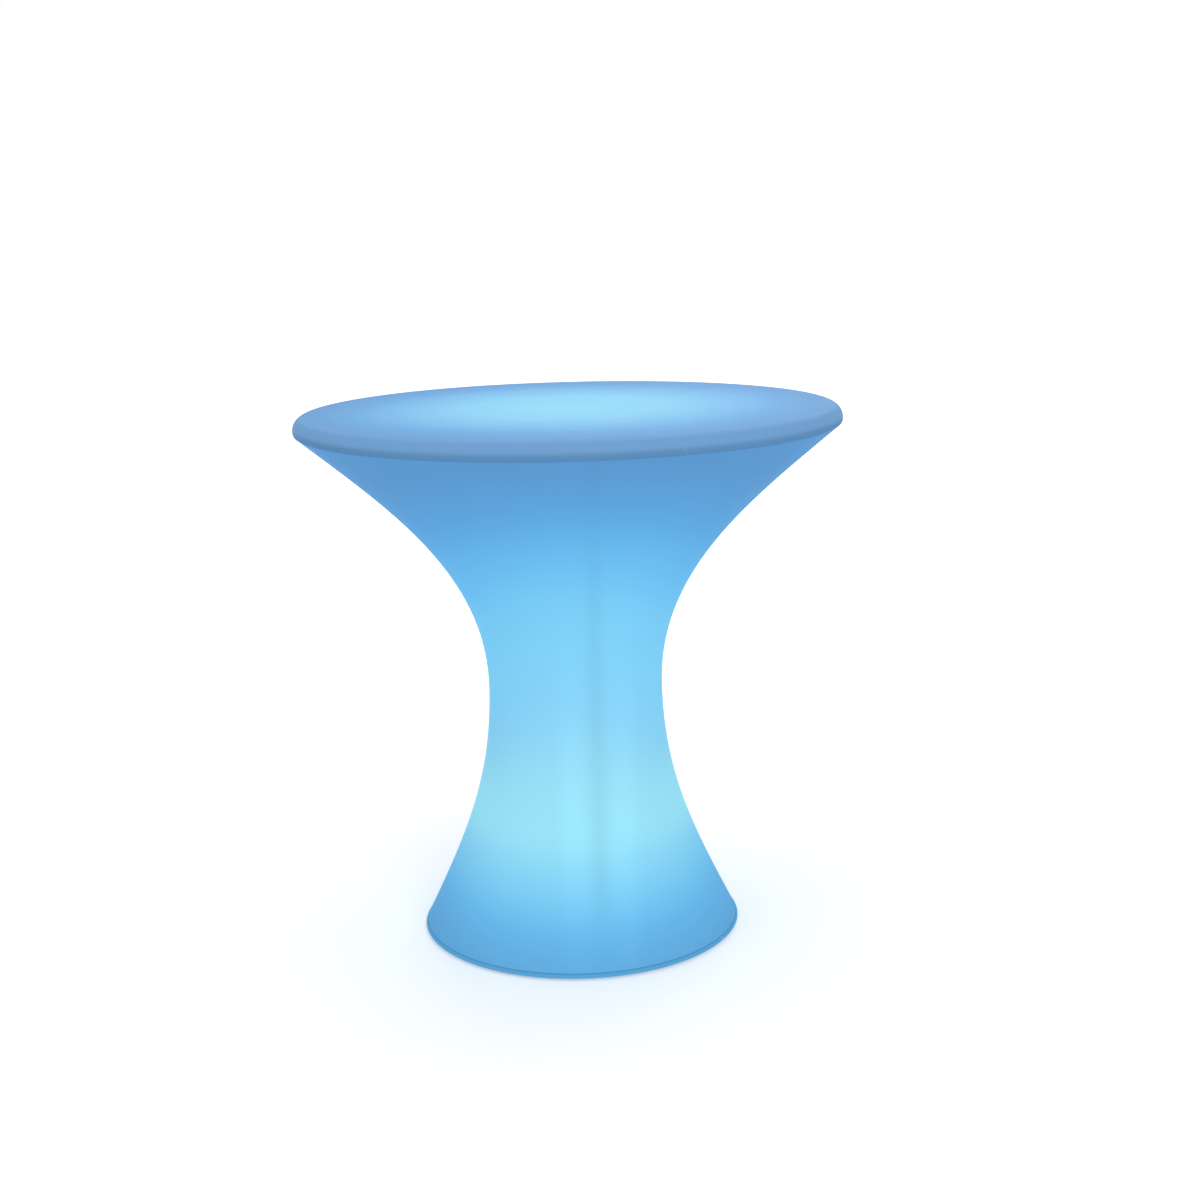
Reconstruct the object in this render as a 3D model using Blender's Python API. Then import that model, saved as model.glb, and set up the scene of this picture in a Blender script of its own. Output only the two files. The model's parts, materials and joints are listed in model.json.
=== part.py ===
"""Light up table: a translucent hourglass moulding lit by a lamp unit in its base.

Units are metres and +Z is up. The origin is the centre of the base, on the floor.
The table is turned about +Z. Its front is towards -Y.

The moulded tabletop is screwed to the moulded body from inside. A base plate with a
steel ballast ring closes the body underneath. The lamp unit hangs in the middle of the
plate: a tray with battery, control board and heat sink, LEDs under a frosted dome, and
a push button and a capped charging socket in the hollow underneath.
"""
import math

import bmesh
import bpy
from mathutils import Matrix, Vector
from mathutils.geometry import interpolate_bezier

# Overall form
TABLE_HEIGHT = 0.760
TOP_RADIUS = 0.382
RIM_UPPER_ROUND = 0.017
RIM_STRAIGHT = 0.0024
RIM_LOWER_ROUND = 0.006
RIM_TUCK_ANGLE = math.radians(34.7)
FLARE_ANGLE = math.radians(40.4)
FLARE_REACH = 0.157
FLARE_WAIST_REACH = 0.167
WAIST_RADIUS = 0.1253
WAIST_HEIGHT = 0.3625
SKIRT_WAIST_REACH = 0.139
SKIRT_REACH = 0.136
SKIRT_ANGLE = math.radians(63.8)
FOOT_RADIUS = 0.2278
SHELL_WALL = 0.005

# Fits and small allowances shared by all pieces
GAP = 0.0003
OVERRUN = 0.002
EMBED = 0.0005
WELD_DISTANCE = 0.000001

# Joint between tabletop and body
LID_WALL = 0.005
MOUTH_INSET = 0.0006
MOUTH_LIP = 0.0075
TOP_FLANGE_WIDTH = 0.0515
TOP_FLANGE_THICK = 0.006
TOP_SEAL_THICK = 0.0017
TOP_SEAL_WIDTH = 0.013
SEAL_SIDE_GAP = 0.0005
SPIGOT_CLEARANCE = 0.0008
TOP_SCREW_INSET = 0.034
TOP_SCREW_COUNT = 6
SCREW_BOSS_RADIUS = 0.008
SCREW_BOSS_COVER = 0.002
VENT_RADIUS = 0.005

# Big thread-forming screws and ballast bolts, thread size M6
M6_RADIUS = 0.003
M6_HEAD_RADIUS = 0.0058
M6_HEAD_HEIGHT = 0.0033
M6_SOCKET_RADIUS = 0.0023
M6_SOCKET_DEPTH = 0.002
M6_BITE = 0.0085
SCREW_HOLE_CLEARANCE = 0.0005

# Base plate, its fixings, ballast and feet
FOOT_STANDOFF = 0.0042
PLATE_THICK = 0.006
PLATE_PROUD = 0.0035
PLATE_EDGE_ROUND = 0.0012
BASE_FLANGE_WIDTH = 0.038
BASE_FLANGE_THICK = 0.011
BASE_SCREW_INSET = 0.022
BASE_SCREW_COUNT = 6
BALLAST_BAR_SIDE = 0.0256
BALLAST_CLEARANCE = 0.008
BALLAST_BOLT_COUNT = 4
PAD_FOOT_RADIUS = 0.014
PAD_FOOT_TAPER = 0.0012
PAD_FOOT_SINK = 0.0012
PAD_FOOT_COUNT = 6
PAD_STEM_RADIUS = 0.003
PAD_STEM_COVER = 0.0008

# Small screws, thread size M4 in the tray flange, M3 in the lamp unit
M4_RADIUS = 0.002
M4_HEAD_RADIUS = 0.0038
M4_HEAD_HEIGHT = 0.002
M4_BITE = 0.007
M3_RADIUS = 0.0014
M3_HEAD_RADIUS = 0.0028
M3_HEAD_HEIGHT = 0.002
M3_BITE = 0.008

# Lamp tray: flange under the base plate, hollow underneath, floor, wall
TRAY_CLEARANCE = 0.001
TRAY_FLANGE_WIDTH = 0.015
TRAY_FLANGE_THICK = 0.002
TRAY_GASKET_THICK = 0.001
TRAY_SCREW_COUNT = 4
TRAY_BOSS_RADIUS = 0.0048
TRAY_BOSS_HEIGHT = 0.0088
TRAY_COLLAR_WALL = 0.0042
TRAY_WALL = 0.0025
TRAY_LEDGE = 0.0025
TRAY_FLOOR_THICK = 0.0025
HOLLOW_DEPTH = 0.017
PILASTER_RADIUS = 0.004
PILASTER_SINK = 0.001
PILASTER_COUNT = 4
CONTENTS_CLEARANCE = 0.001
CONTENTS_SHIFT = 0.008
CONTENTS_SPACING = 0.0015

# Battery
CELL_COUNT = 3
CELL_RADIUS = 0.0092
CELL_LENGTH = 0.065
CELL_CAP_RADIUS = 0.0035
CELL_CAP_HEIGHT = 0.0012
HOLDER_BASE = 0.0015
HOLDER_WALL = 0.0015
HOLDER_RIB = 0.0012
HOLDER_END = 0.0025
STRAP_WIDTH = 0.014
STRAP_THICK = 0.0008
STRAP_DROP = 0.016

# Push button and the switch it works
BUTTON_RADIUS = 0.006
BUTTON_PROUD = 0.003
BUTTON_ROUND = 0.0008
BUTTON_FLANGE_WIDTH = 0.0018
BUTTON_FLANGE_THICK = 0.0012
BUTTON_TRAVEL = 0.0015
SWITCH_CLEARANCE = 0.0012
SWITCH_HEIGHT = 0.006
SWITCH_SIDE = 0.008
PLUNGER_RADIUS = 0.0015
PLUNGER_ENTRY = 0.0018
SWITCH_CEILING = 0.0007

# Control board and what stands on it
BOARD_WIDTH = 0.048
BOARD_LENGTH = 0.056
BOARD_THICK = 0.0016
BOARD_CORNER = 0.002
STANDOFF_INSET = 0.004
STANDOFF_RADIUS = 0.0028
STAKE_RADIUS = 0.0012
STAKE_PROUD = 0.0008
CHIP_SIDE = 0.009
CHIP_HEIGHT = 0.0014
COIL_RADIUS = 0.0045
COIL_HEIGHT = 0.005
CAPACITOR_RADIUS = 0.003
CAPACITOR_HEIGHT = 0.007
CONNECTOR_LENGTH = 0.008
CONNECTOR_WIDTH = 0.005
CONNECTOR_HEIGHT = 0.0045
PILOT_RADIUS = 0.0022
PILOT_FLANGE = 0.0008

# Charging socket with its hinged cap
SOCKET_RADIUS = 0.0055
SOCKET_BORE_RADIUS = 0.00275
SOCKET_BORE_DEPTH = 0.009
SOCKET_PIN_RADIUS = 0.001
SOCKET_PIN_RECESS = 0.002
CAP_RADIUS = 0.007
CAP_THICK = 0.0018
CAP_ARM = 0.0092
CAP_PLUG_RADIUS = 0.0021
CAP_PLUG_HEIGHT = 0.0012
CAP_NECK_WIDTH = 0.007
KNUCKLE_RADIUS = 0.0022
HINGE_PIN_RADIUS = 0.0009
HINGE_PIN_END = 0.0004
EAR_THICK = 0.002

# Heat sink, LED board, dome
FIN_CLEARANCE = 0.0011
FIN_HEIGHT = 0.005
FIN_THICK = 0.002
FIN_PITCH = 0.014
FIN_MARGIN = 0.002
SINK_THICK = 0.003
THERMAL_PAD_THICK = 0.0005
LED_BOARD_THICK = 0.0016
LED_BOARD_CLEARANCE = 0.003
LED_SIDE = 0.005
LED_HEIGHT = 0.0016
RECEIVER_WIDTH = 0.006
RECEIVER_DEPTH = 0.004
RECEIVER_HEIGHT = 0.007
DOME_SEAL_THICK = 0.001
DOME_FLANGE_THICK = 0.0025
DOME_WALL = 0.002
DOME_HEIGHT = 0.045
DOME_SCREW_SPACE = 0.0008
LEAD_RADIUS = 0.0015
LEAD_STEP = 0.005
LEAD_SLACK = 0.008

# Shares of the sizes that they follow
LED_RING_SHARES = (0.30, 0.78)
LED_RING_COUNTS = (6, 18)
BUTTON_PLACE_SHARES = (0.0, -0.24)
SOCKET_PLACE_SHARES = (-0.10, 0.27)
PILOT_PLACE_SHARES = (0.27, 0.0)
CHIP_PLACE_SHARES = (0.0, -0.12)
COIL_PLACE_SHARES = (0.25, 0.14)
CAPACITOR_PLACE_SHARES = (-0.30, -0.28)
BATTERY_CONNECTOR_SHARES = (-0.30, 0.30)
LED_CONNECTOR_SHARES = (-0.03, 0.34)

# Facets
MAIN_SEGMENTS = 36
UNIT_SEGMENTS = 24
ROUND_SEGMENTS = 12
SMALL_SEGMENTS = 8
FLARE_POINTS = 8
SKIRT_POINTS = 6
INNER_POINTS = 7
RIM_POINTS = 5
DOME_POINTS = 5
SMOOTH_ANGLE = math.radians(32)

# Levels, worked out from the floor up
PLATE_BOTTOM = FOOT_STANDOFF
PLATE_TOP = PLATE_BOTTOM + PLATE_THICK
SHELL_BOTTOM = PLATE_TOP + GAP
BASE_FLANGE_TOP = SHELL_BOTTOM + BASE_FLANGE_THICK
TRAY_BOTTOM = PLATE_BOTTOM + GAP
TRAY_FLANGE_TOP = TRAY_BOTTOM + TRAY_FLANGE_THICK
TRAY_GASKET_BOTTOM = TRAY_FLANGE_TOP + GAP
TRAY_GASKET_TOP = TRAY_GASKET_BOTTOM + TRAY_GASKET_THICK
RECESS_TOP = TRAY_GASKET_TOP + GAP
COLLAR_TOP = PLATE_TOP + TRAY_BOSS_HEIGHT
FLOOR_BOTTOM = TRAY_BOTTOM + HOLLOW_DEPTH
FLOOR_TOP = FLOOR_BOTTOM + TRAY_FLOOR_THICK
HOLDER_BOTTOM = FLOOR_TOP + GAP
CELL_CENTRE = HOLDER_BOTTOM + HOLDER_BASE + GAP + CELL_RADIUS
STRAP_BOTTOM = CELL_CENTRE + CELL_RADIUS + GAP
FIN_BOTTOM = STRAP_BOTTOM + STRAP_THICK + FIN_CLEARANCE
SINK_BOTTOM = FIN_BOTTOM + FIN_HEIGHT
SINK_TOP = SINK_BOTTOM + SINK_THICK
LEDGE_TOP = SINK_BOTTOM - GAP
PAD_BOTTOM = SINK_TOP + GAP
LED_BOARD_BOTTOM = PAD_BOTTOM + THERMAL_PAD_THICK + GAP
LED_BOARD_TOP = LED_BOARD_BOTTOM + LED_BOARD_THICK
DOME_FLANGE_BOTTOM = SINK_TOP + GAP + DOME_SEAL_THICK + GAP
DOME_FLANGE_TOP = DOME_FLANGE_BOTTOM + DOME_FLANGE_THICK
TRAY_TOP = DOME_FLANGE_TOP + GAP
BUTTON_FLANGE_TOP = FLOOR_TOP + GAP + BUTTON_FLANGE_THICK
SWITCH_BOTTOM = BUTTON_FLANGE_TOP + BUTTON_TRAVEL + SWITCH_CLEARANCE
SWITCH_TOP = SWITCH_BOTTOM + SWITCH_HEIGHT
BOARD_BOTTOM = SWITCH_TOP + GAP
BOARD_TOP = BOARD_BOTTOM + BOARD_THICK
HINGE_LEVEL = FLOOR_BOTTOM - GAP - KNUCKLE_RADIUS

# Levels of the joint under the tabletop
RIM_LOWER_SWEEP = math.pi / 2 - RIM_TUCK_ANGLE
LID_BOTTOM = (TABLE_HEIGHT - RIM_UPPER_ROUND - RIM_STRAIGHT
              - RIM_LOWER_ROUND * math.sin(RIM_LOWER_SWEEP))
SHELL_TOP = LID_BOTTOM - GAP
TOP_SEAT = SHELL_TOP - TOP_SEAL_THICK - GAP
TOP_FLANGE_BOTTOM = TOP_SEAT - TOP_FLANGE_THICK
TOP_SCREW_TIP = LID_BOTTOM + M6_BITE

# Radii, worked out from the outside in
LID_EDGE_RADIUS = TOP_RADIUS - RIM_LOWER_ROUND * (1 - math.cos(RIM_LOWER_SWEEP))
MOUTH_RADIUS = LID_EDGE_RADIUS - MOUTH_INSET
TOP_FLANGE_RADIUS = MOUTH_RADIUS - TOP_FLANGE_WIDTH
SPIGOT_RADIUS = TOP_FLANGE_RADIUS - SPIGOT_CLEARANCE
SEAL_STEP_RADIUS = MOUTH_RADIUS - MOUTH_LIP
TOP_SCREW_CIRCLE = MOUTH_RADIUS - TOP_SCREW_INSET
BASE_FLANGE_RADIUS = FOOT_RADIUS - BASE_FLANGE_WIDTH
BASE_SCREW_CIRCLE = FOOT_RADIUS - BASE_SCREW_INSET
PLATE_RADIUS = FOOT_RADIUS + PLATE_PROUD

# The battery and the board side by side decide how wide the lamp tray is
CELL_PITCH = 2 * (CELL_RADIUS + GAP) + HOLDER_RIB
HOLDER_WIDTH = (CELL_COUNT - 1) * CELL_PITCH + 2 * (CELL_RADIUS + GAP + HOLDER_WALL)
HOLDER_LENGTH = CELL_LENGTH + CELL_CAP_HEIGHT + 2 * (GAP + HOLDER_END)
HOLDER_X = CONTENTS_SHIFT - HOLDER_WIDTH / 2
BOARD_X = CONTENTS_SHIFT + CONTENTS_SPACING + BOARD_WIDTH / 2
HOLDER_REACH = math.hypot(HOLDER_X - HOLDER_WIDTH / 2, HOLDER_LENGTH / 2)
BOARD_REACH = math.hypot(BOARD_X + BOARD_WIDTH / 2, BOARD_LENGTH / 2)
CONTENTS_REACH = max(HOLDER_REACH, BOARD_REACH) + CONTENTS_CLEARANCE
PILASTER_CIRCLE = CONTENTS_REACH + PILASTER_RADIUS
TRAY_INNER = PILASTER_CIRCLE + PILASTER_RADIUS - PILASTER_SINK
TRAY_UPPER_INNER = TRAY_INNER + TRAY_LEDGE
TRAY_OUTER = TRAY_UPPER_INNER + TRAY_WALL
PLATE_OPENING = TRAY_OUTER + TRAY_CLEARANCE
TRAY_FLANGE_RADIUS = PLATE_OPENING + TRAY_FLANGE_WIDTH
TRAY_RECESS_RADIUS = TRAY_FLANGE_RADIUS + TRAY_CLEARANCE
TRAY_SCREW_CIRCLE = PLATE_OPENING + TRAY_FLANGE_WIDTH / 2
BALLAST_INNER = TRAY_SCREW_CIRCLE + TRAY_BOSS_RADIUS + BALLAST_CLEARANCE
BALLAST_OUTER = BASE_FLANGE_RADIUS - BALLAST_CLEARANCE
BALLAST_BOLT_CIRCLE = (BALLAST_INNER + BALLAST_OUTER) / 2
# The ring has the section of a square steel bar, rolled flat to the width there is
BALLAST_THICK = BALLAST_BAR_SIDE ** 2 / (BALLAST_OUTER - BALLAST_INNER)
DOME_RADIUS = PILASTER_CIRCLE - M3_HEAD_RADIUS - DOME_SCREW_SPACE
DOME_FLANGE_RADIUS = TRAY_UPPER_INNER - SEAL_SIDE_GAP
LED_BOARD_RADIUS = DOME_RADIUS - DOME_WALL - LED_BOARD_CLEARANCE
FIN_CIRCLE = PILASTER_CIRCLE - PILASTER_RADIUS - FIN_MARGIN

# Angles at which the rings of fixings start, so that they miss each other
SCREW_TURN = math.pi / 6
BOLT_TURN = math.pi / 4
TRAY_TURN = math.pi / 4

# Finishes: colour, roughness, metallic
FINISHES = {
    "lit_polyethylene": ((0.16, 0.50, 0.83), 0.42, 0.0),
    "lit_top": ((0.20, 0.54, 0.84), 0.38, 0.0),
    "white_moulding": ((0.74, 0.78, 0.80), 0.45, 0.0),
    "grey_moulding": ((0.32, 0.34, 0.36), 0.5, 0.0),
    "black_moulding": ((0.03, 0.03, 0.035), 0.45, 0.0),
    "frosted_dome": ((0.86, 0.90, 0.92), 0.35, 0.0),
    "rubber": ((0.04, 0.04, 0.04), 0.75, 0.0),
    "silicone": ((0.62, 0.64, 0.66), 0.6, 0.0),
    "steel": ((0.56, 0.57, 0.58), 0.35, 1.0),
    "painted_steel": ((0.62, 0.63, 0.64), 0.5, 0.3),
    "aluminium": ((0.78, 0.79, 0.80), 0.38, 1.0),
    "circuit_board": ((0.03, 0.22, 0.10), 0.4, 0.0),
    "white_board": ((0.85, 0.86, 0.86), 0.35, 0.0),
    "cell_sleeve": ((0.10, 0.30, 0.62), 0.35, 0.0),
    "strap_webbing": ((0.06, 0.06, 0.07), 0.8, 0.0),
    "lead_sheath": ((0.50, 0.05, 0.04), 0.5, 0.0),
}


def clear_objects():
    """Remove what the file held before, so that the table stands alone."""
    for old in list(bpy.data.objects):
        bpy.data.objects.remove(old, do_unlink=True)


# Shaping helpers

def add_to(group, piece, frame):
    """Move a finished solid into its place and add it to a group of solids."""
    bmesh.ops.recalc_face_normals(piece, faces=piece.faces)
    piece.transform(frame)
    mesh = bpy.data.meshes.new("solid")
    piece.to_mesh(mesh)
    piece.free()
    group.from_mesh(mesh)
    bpy.data.meshes.remove(mesh)


def turn(group, outline, segments=SMALL_SEGMENTS, frame=Matrix.Identity(4)):
    """Spin an outline of (radius, height) points; it closes on the axis or on itself."""
    piece = bmesh.new()
    verts = [piece.verts.new((radius, 0, height)) for radius, height in outline]
    edges = [piece.edges.new(pair) for pair in zip(verts, verts[1:])]
    if outline[0][0] > 0:
        edges.append(piece.edges.new((verts[-1], verts[0])))
    bmesh.ops.spin(piece, geom=verts + edges, cent=(0, 0, 0), axis=(0, 0, 1),
                   angle=math.tau, steps=segments, use_merge=True)
    bmesh.ops.remove_doubles(piece, verts=piece.verts, dist=WELD_DISTANCE)
    add_to(group, piece, frame)


def prism(group, outline, low, high, frame=Matrix.Identity(4)):
    """Raise a flat outline of (x, y) points from one level to another."""
    piece = bmesh.new()
    face = piece.faces.new([piece.verts.new((x, y, low)) for x, y in outline])
    raised = bmesh.ops.extrude_face_region(piece, geom=[face])
    lifted = [item for item in raised["geom"] if isinstance(item, bmesh.types.BMVert)]
    bmesh.ops.translate(piece, verts=lifted, vec=(0, 0, high - low))
    add_to(group, piece, frame)


def rod(radius, low, high):
    """Outline of a plain cylinder standing on the axis."""
    return [(0, low), (radius, low), (radius, high), (0, high)]


def ring(inner, outer, low, high):
    """Outline of a flat ring or a tube."""
    return [(inner, low), (outer, low), (outer, high), (inner, high)]


def rectangle(width, depth, x=0, y=0):
    """Corners of a rectangle about a centre."""
    half_x, half_y = width / 2, depth / 2
    return [(x - half_x, y - half_y), (x + half_x, y - half_y),
            (x + half_x, y + half_y), (x - half_x, y + half_y)]


def arc(centre, radius, start, end, count):
    """Points on an arc, both ends included; angles are from the first axis."""
    return [(centre[0] + radius * math.cos(start + (end - start) * step / count),
             centre[1] + radius * math.sin(start + (end - start) * step / count))
            for step in range(count + 1)]


def circle_frames(count, radius, first=0.0):
    """Places evenly spaced on a circle about the table's axis."""
    angles = [first + math.tau * step / count for step in range(count)]
    return [Matrix.Translation((radius * math.cos(a), radius * math.sin(a), 0))
            for a in angles]


def at(x, y, z=0):
    """A place without any turning."""
    return Matrix.Translation((x, y, z))


def make(name, group, finish, place=(0, 0, 0), parent=None):
    """Turn a group of solids into one named object with its own material."""
    mesh = bpy.data.meshes.new(name)
    group.to_mesh(mesh)
    group.free()
    mesh.shade_smooth()
    mesh.set_sharp_from_angle(angle=SMOOTH_ANGLE)
    piece = bpy.data.objects.new(name, mesh)
    piece.location = place
    piece.parent = parent
    bpy.context.scene.collection.objects.link(piece)
    coat(piece, finish)
    return piece


def coat(piece, finish):
    """Give a piece its own material with one of the finishes."""
    colour, roughness, metallic = FINISHES[finish]
    material = bpy.data.materials.new(piece.name + "_" + finish)
    material.use_nodes = True
    shader = material.node_tree.nodes["Principled BSDF"]
    shader.inputs["Base Color"].default_value = (*colour, 1.0)
    shader.inputs["Roughness"].default_value = roughness
    shader.inputs["Metallic"].default_value = metallic
    material.diffuse_color = (*colour, 1.0)
    piece.data.materials.append(material)


def shape_with(piece, tool, operation):
    """Cut a piece with a tool body, or join the tool body to it."""
    mesh = bpy.data.meshes.new(piece.name + "_" + operation.lower())
    tool.to_mesh(mesh)
    tool.free()
    body = bpy.data.objects.new(mesh.name, mesh)
    body.parent = piece.parent
    body.location = piece.location
    body.hide_render = True
    body.display_type = 'WIRE'
    bpy.context.scene.collection.objects.link(body)
    modifier = piece.modifiers.new(operation.lower(), 'BOOLEAN')
    modifier.operation = operation
    modifier.object = body


def joint_axis(name, place):
    """An empty on a joint's axis, which carries the pieces that move."""
    empty = bpy.data.objects.new(name, None)
    empty.location = place
    empty.empty_display_size = M6_HEAD_RADIUS
    bpy.context.scene.collection.objects.link(empty)
    return empty


# Fasteners

def screw_outline(head_level, head_radius, head_height, shank_radius, tip_level):
    """A button head on a shank; the head is under head_level, or over it if the tip is."""
    away = -1 if tip_level > head_level else 1
    crown = head_level + away * head_height
    shoulder = head_level + away * head_height / 2
    return [(0, crown), (head_radius * 3 / 4, crown), (head_radius, shoulder),
            (head_radius, head_level), (shank_radius, head_level),
            (shank_radius, tip_level), (0, tip_level)]


def socket_screw_outline(head_level, tip_level):
    """The M6 button head, with its round drive socket, on its shank."""
    away = -1 if tip_level > head_level else 1
    crown = head_level + away * M6_HEAD_HEIGHT
    well = crown - away * M6_SOCKET_DEPTH
    shoulder = head_level + away * M6_HEAD_HEIGHT / 2
    return [(0, well), (M6_SOCKET_RADIUS, well), (M6_SOCKET_RADIUS, crown),
            (M6_HEAD_RADIUS * 3 / 4, crown), (M6_HEAD_RADIUS, shoulder),
            (M6_HEAD_RADIUS, head_level), (M6_RADIUS, head_level),
            (M6_RADIUS, tip_level), (0, tip_level)]


def copies(name, outline, places, finish="steel", segments=SMALL_SEGMENTS):
    """The same turned piece at every place, numbered from 1, on one shared mesh."""
    group = bmesh.new()
    turn(group, outline, segments)
    first = make(name + "_1", group, finish, places[0].translation)
    for number, place in enumerate(places[1:], 2):
        piece = bpy.data.objects.new(f"{name}_{number}", first.data)
        piece.location = place.translation
        bpy.context.scene.collection.objects.link(piece)


def posts(group, radius, low, high, places):
    """Add a round post at every place, to cut holes with or to stand there."""
    for place in places:
        turn(group, rod(radius, low, high), frame=place)


# Tabletop and body

def flare_curve(count):
    """Outer line of the upper flare, from the mouth down to the waist."""
    mouth = Vector((MOUTH_RADIUS, SHELL_TOP, 0))
    inward = Vector((-math.cos(FLARE_ANGLE), -math.sin(FLARE_ANGLE), 0))
    waist = Vector((WAIST_RADIUS, WAIST_HEIGHT, 0))
    above = waist + Vector((0, FLARE_WAIST_REACH, 0))
    return interpolate_bezier(mouth, mouth + inward * FLARE_REACH, above, waist, count)


def skirt_curve(count):
    """Outer line of the lower flare, from the waist down to the foot."""
    waist = Vector((WAIST_RADIUS, WAIST_HEIGHT, 0))
    below = waist - Vector((0, SKIRT_WAIST_REACH, 0))
    foot = Vector((FOOT_RADIUS, SHELL_BOTTOM, 0))
    upward = Vector((-math.cos(SKIRT_ANGLE), math.sin(SKIRT_ANGLE), 0))
    return interpolate_bezier(waist, below, foot + upward * SKIRT_REACH, foot, count)


def inner_curve(count, low, high):
    """The wall's inner line between two levels, one wall inside the outer line."""
    fine = flare_curve(count * count)[:-1] + skirt_curve(count * count)
    inset = []
    for before, point, after in zip(fine, fine[1:], fine[2:]):
        along = (after - before).normalized()
        inset.append(point + Vector((along.y, -along.x, 0)) * SHELL_WALL)
    inset.sort(key=lambda point: point.y)
    levels = [low + (high - low) * step / (count - 1) for step in range(count)]
    return [(radius_at(inset, level), level) for level in levels]


def radius_at(points, level):
    """Radius of a rising line of points at a level."""
    for lower, upper in zip(points, points[1:]):
        if lower.y <= level <= upper.y:
            share = (level - lower.y) / (upper.y - lower.y)
            return lower.x + (upper.x - lower.x) * share
    nearest = min(points, key=lambda point: abs(point.y - level))
    return nearest.x


def tabletop():
    """Hollow moulded top: rounded rim, locating spigot underneath, vent in its middle."""
    rim_centre = TOP_RADIUS - RIM_UPPER_ROUND
    upper_level = TABLE_HEIGHT - RIM_UPPER_ROUND
    lower_level = upper_level - RIM_STRAIGHT
    outline = [(0, TABLE_HEIGHT)]
    outline += arc((rim_centre, upper_level), RIM_UPPER_ROUND, math.pi / 2, 0, RIM_POINTS)
    outline += arc((TOP_RADIUS - RIM_LOWER_ROUND, lower_level), RIM_LOWER_ROUND,
                   0, -RIM_LOWER_SWEEP, RIM_POINTS - 2)
    outline += [(SPIGOT_RADIUS, LID_BOTTOM), (SPIGOT_RADIUS, TOP_FLANGE_BOTTOM),
                (VENT_RADIUS, TOP_FLANGE_BOTTOM),
                (VENT_RADIUS, TOP_FLANGE_BOTTOM + LID_WALL),
                (SPIGOT_RADIUS - LID_WALL, TOP_FLANGE_BOTTOM + LID_WALL),
                (SPIGOT_RADIUS - LID_WALL, LID_BOTTOM + LID_WALL),
                (LID_EDGE_RADIUS - LID_WALL, LID_BOTTOM + LID_WALL)]
    outline += arc((rim_centre, upper_level), RIM_UPPER_ROUND - LID_WALL,
                   0, math.pi / 2, RIM_POINTS - 3)
    outline += [(0, TABLE_HEIGHT - LID_WALL)]
    group = bmesh.new()
    turn(group, outline, MAIN_SEGMENTS)
    piece = make("tabletop", group, "lit_top")

    bosses = bmesh.new()
    places = circle_frames(TOP_SCREW_COUNT, TOP_SCREW_CIRCLE, SCREW_TURN)
    posts(bosses, SCREW_BOSS_RADIUS, LID_BOTTOM + LID_WALL - EMBED,
          TOP_SCREW_TIP + GAP + SCREW_BOSS_COVER, places)
    shape_with(piece, bosses, 'UNION')
    wells = bmesh.new()
    posts(wells, M6_RADIUS + GAP, LID_BOTTOM - OVERRUN, TOP_SCREW_TIP + GAP, places)
    shape_with(piece, wells, 'DIFFERENCE')


def body_shell():
    """Hourglass moulding with a flange turned in at its mouth and at its foot."""
    outline = [tuple(point.xy) for point in flare_curve(FLARE_POINTS)[:-1]]
    outline += [tuple(point.xy) for point in skirt_curve(SKIRT_POINTS)]
    outline += [(BASE_FLANGE_RADIUS, SHELL_BOTTOM), (BASE_FLANGE_RADIUS, BASE_FLANGE_TOP)]
    outline += inner_curve(INNER_POINTS, BASE_FLANGE_TOP, TOP_FLANGE_BOTTOM)
    outline += [(TOP_FLANGE_RADIUS, TOP_FLANGE_BOTTOM), (TOP_FLANGE_RADIUS, TOP_SEAT),
                (SEAL_STEP_RADIUS, TOP_SEAT), (SEAL_STEP_RADIUS, SHELL_TOP)]
    group = bmesh.new()
    turn(group, outline, MAIN_SEGMENTS)
    piece = make("body_shell", group, "lit_polyethylene")

    cutters = bmesh.new()
    posts(cutters, M6_RADIUS + SCREW_HOLE_CLEARANCE, TOP_FLANGE_BOTTOM - OVERRUN,
          SHELL_TOP + OVERRUN, circle_frames(TOP_SCREW_COUNT, TOP_SCREW_CIRCLE, SCREW_TURN))
    posts(cutters, M6_RADIUS + GAP, SHELL_BOTTOM - OVERRUN, SHELL_BOTTOM + M6_BITE + GAP,
          circle_frames(BASE_SCREW_COUNT, BASE_SCREW_CIRCLE, SCREW_TURN))
    shape_with(piece, cutters, 'DIFFERENCE')


def top_joint():
    """Seal and screws that join the tabletop to the body."""
    group = bmesh.new()
    outer = SEAL_STEP_RADIUS - SEAL_SIDE_GAP
    turn(group, ring(outer - TOP_SEAL_WIDTH, outer, TOP_SEAT + GAP, SHELL_TOP), MAIN_SEGMENTS)
    make("top_seal", group, "silicone")

    copies("tabletop_screw", socket_screw_outline(TOP_FLANGE_BOTTOM - GAP, TOP_SCREW_TIP),
           circle_frames(TOP_SCREW_COUNT, TOP_SCREW_CIRCLE, SCREW_TURN))


# Base

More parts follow.
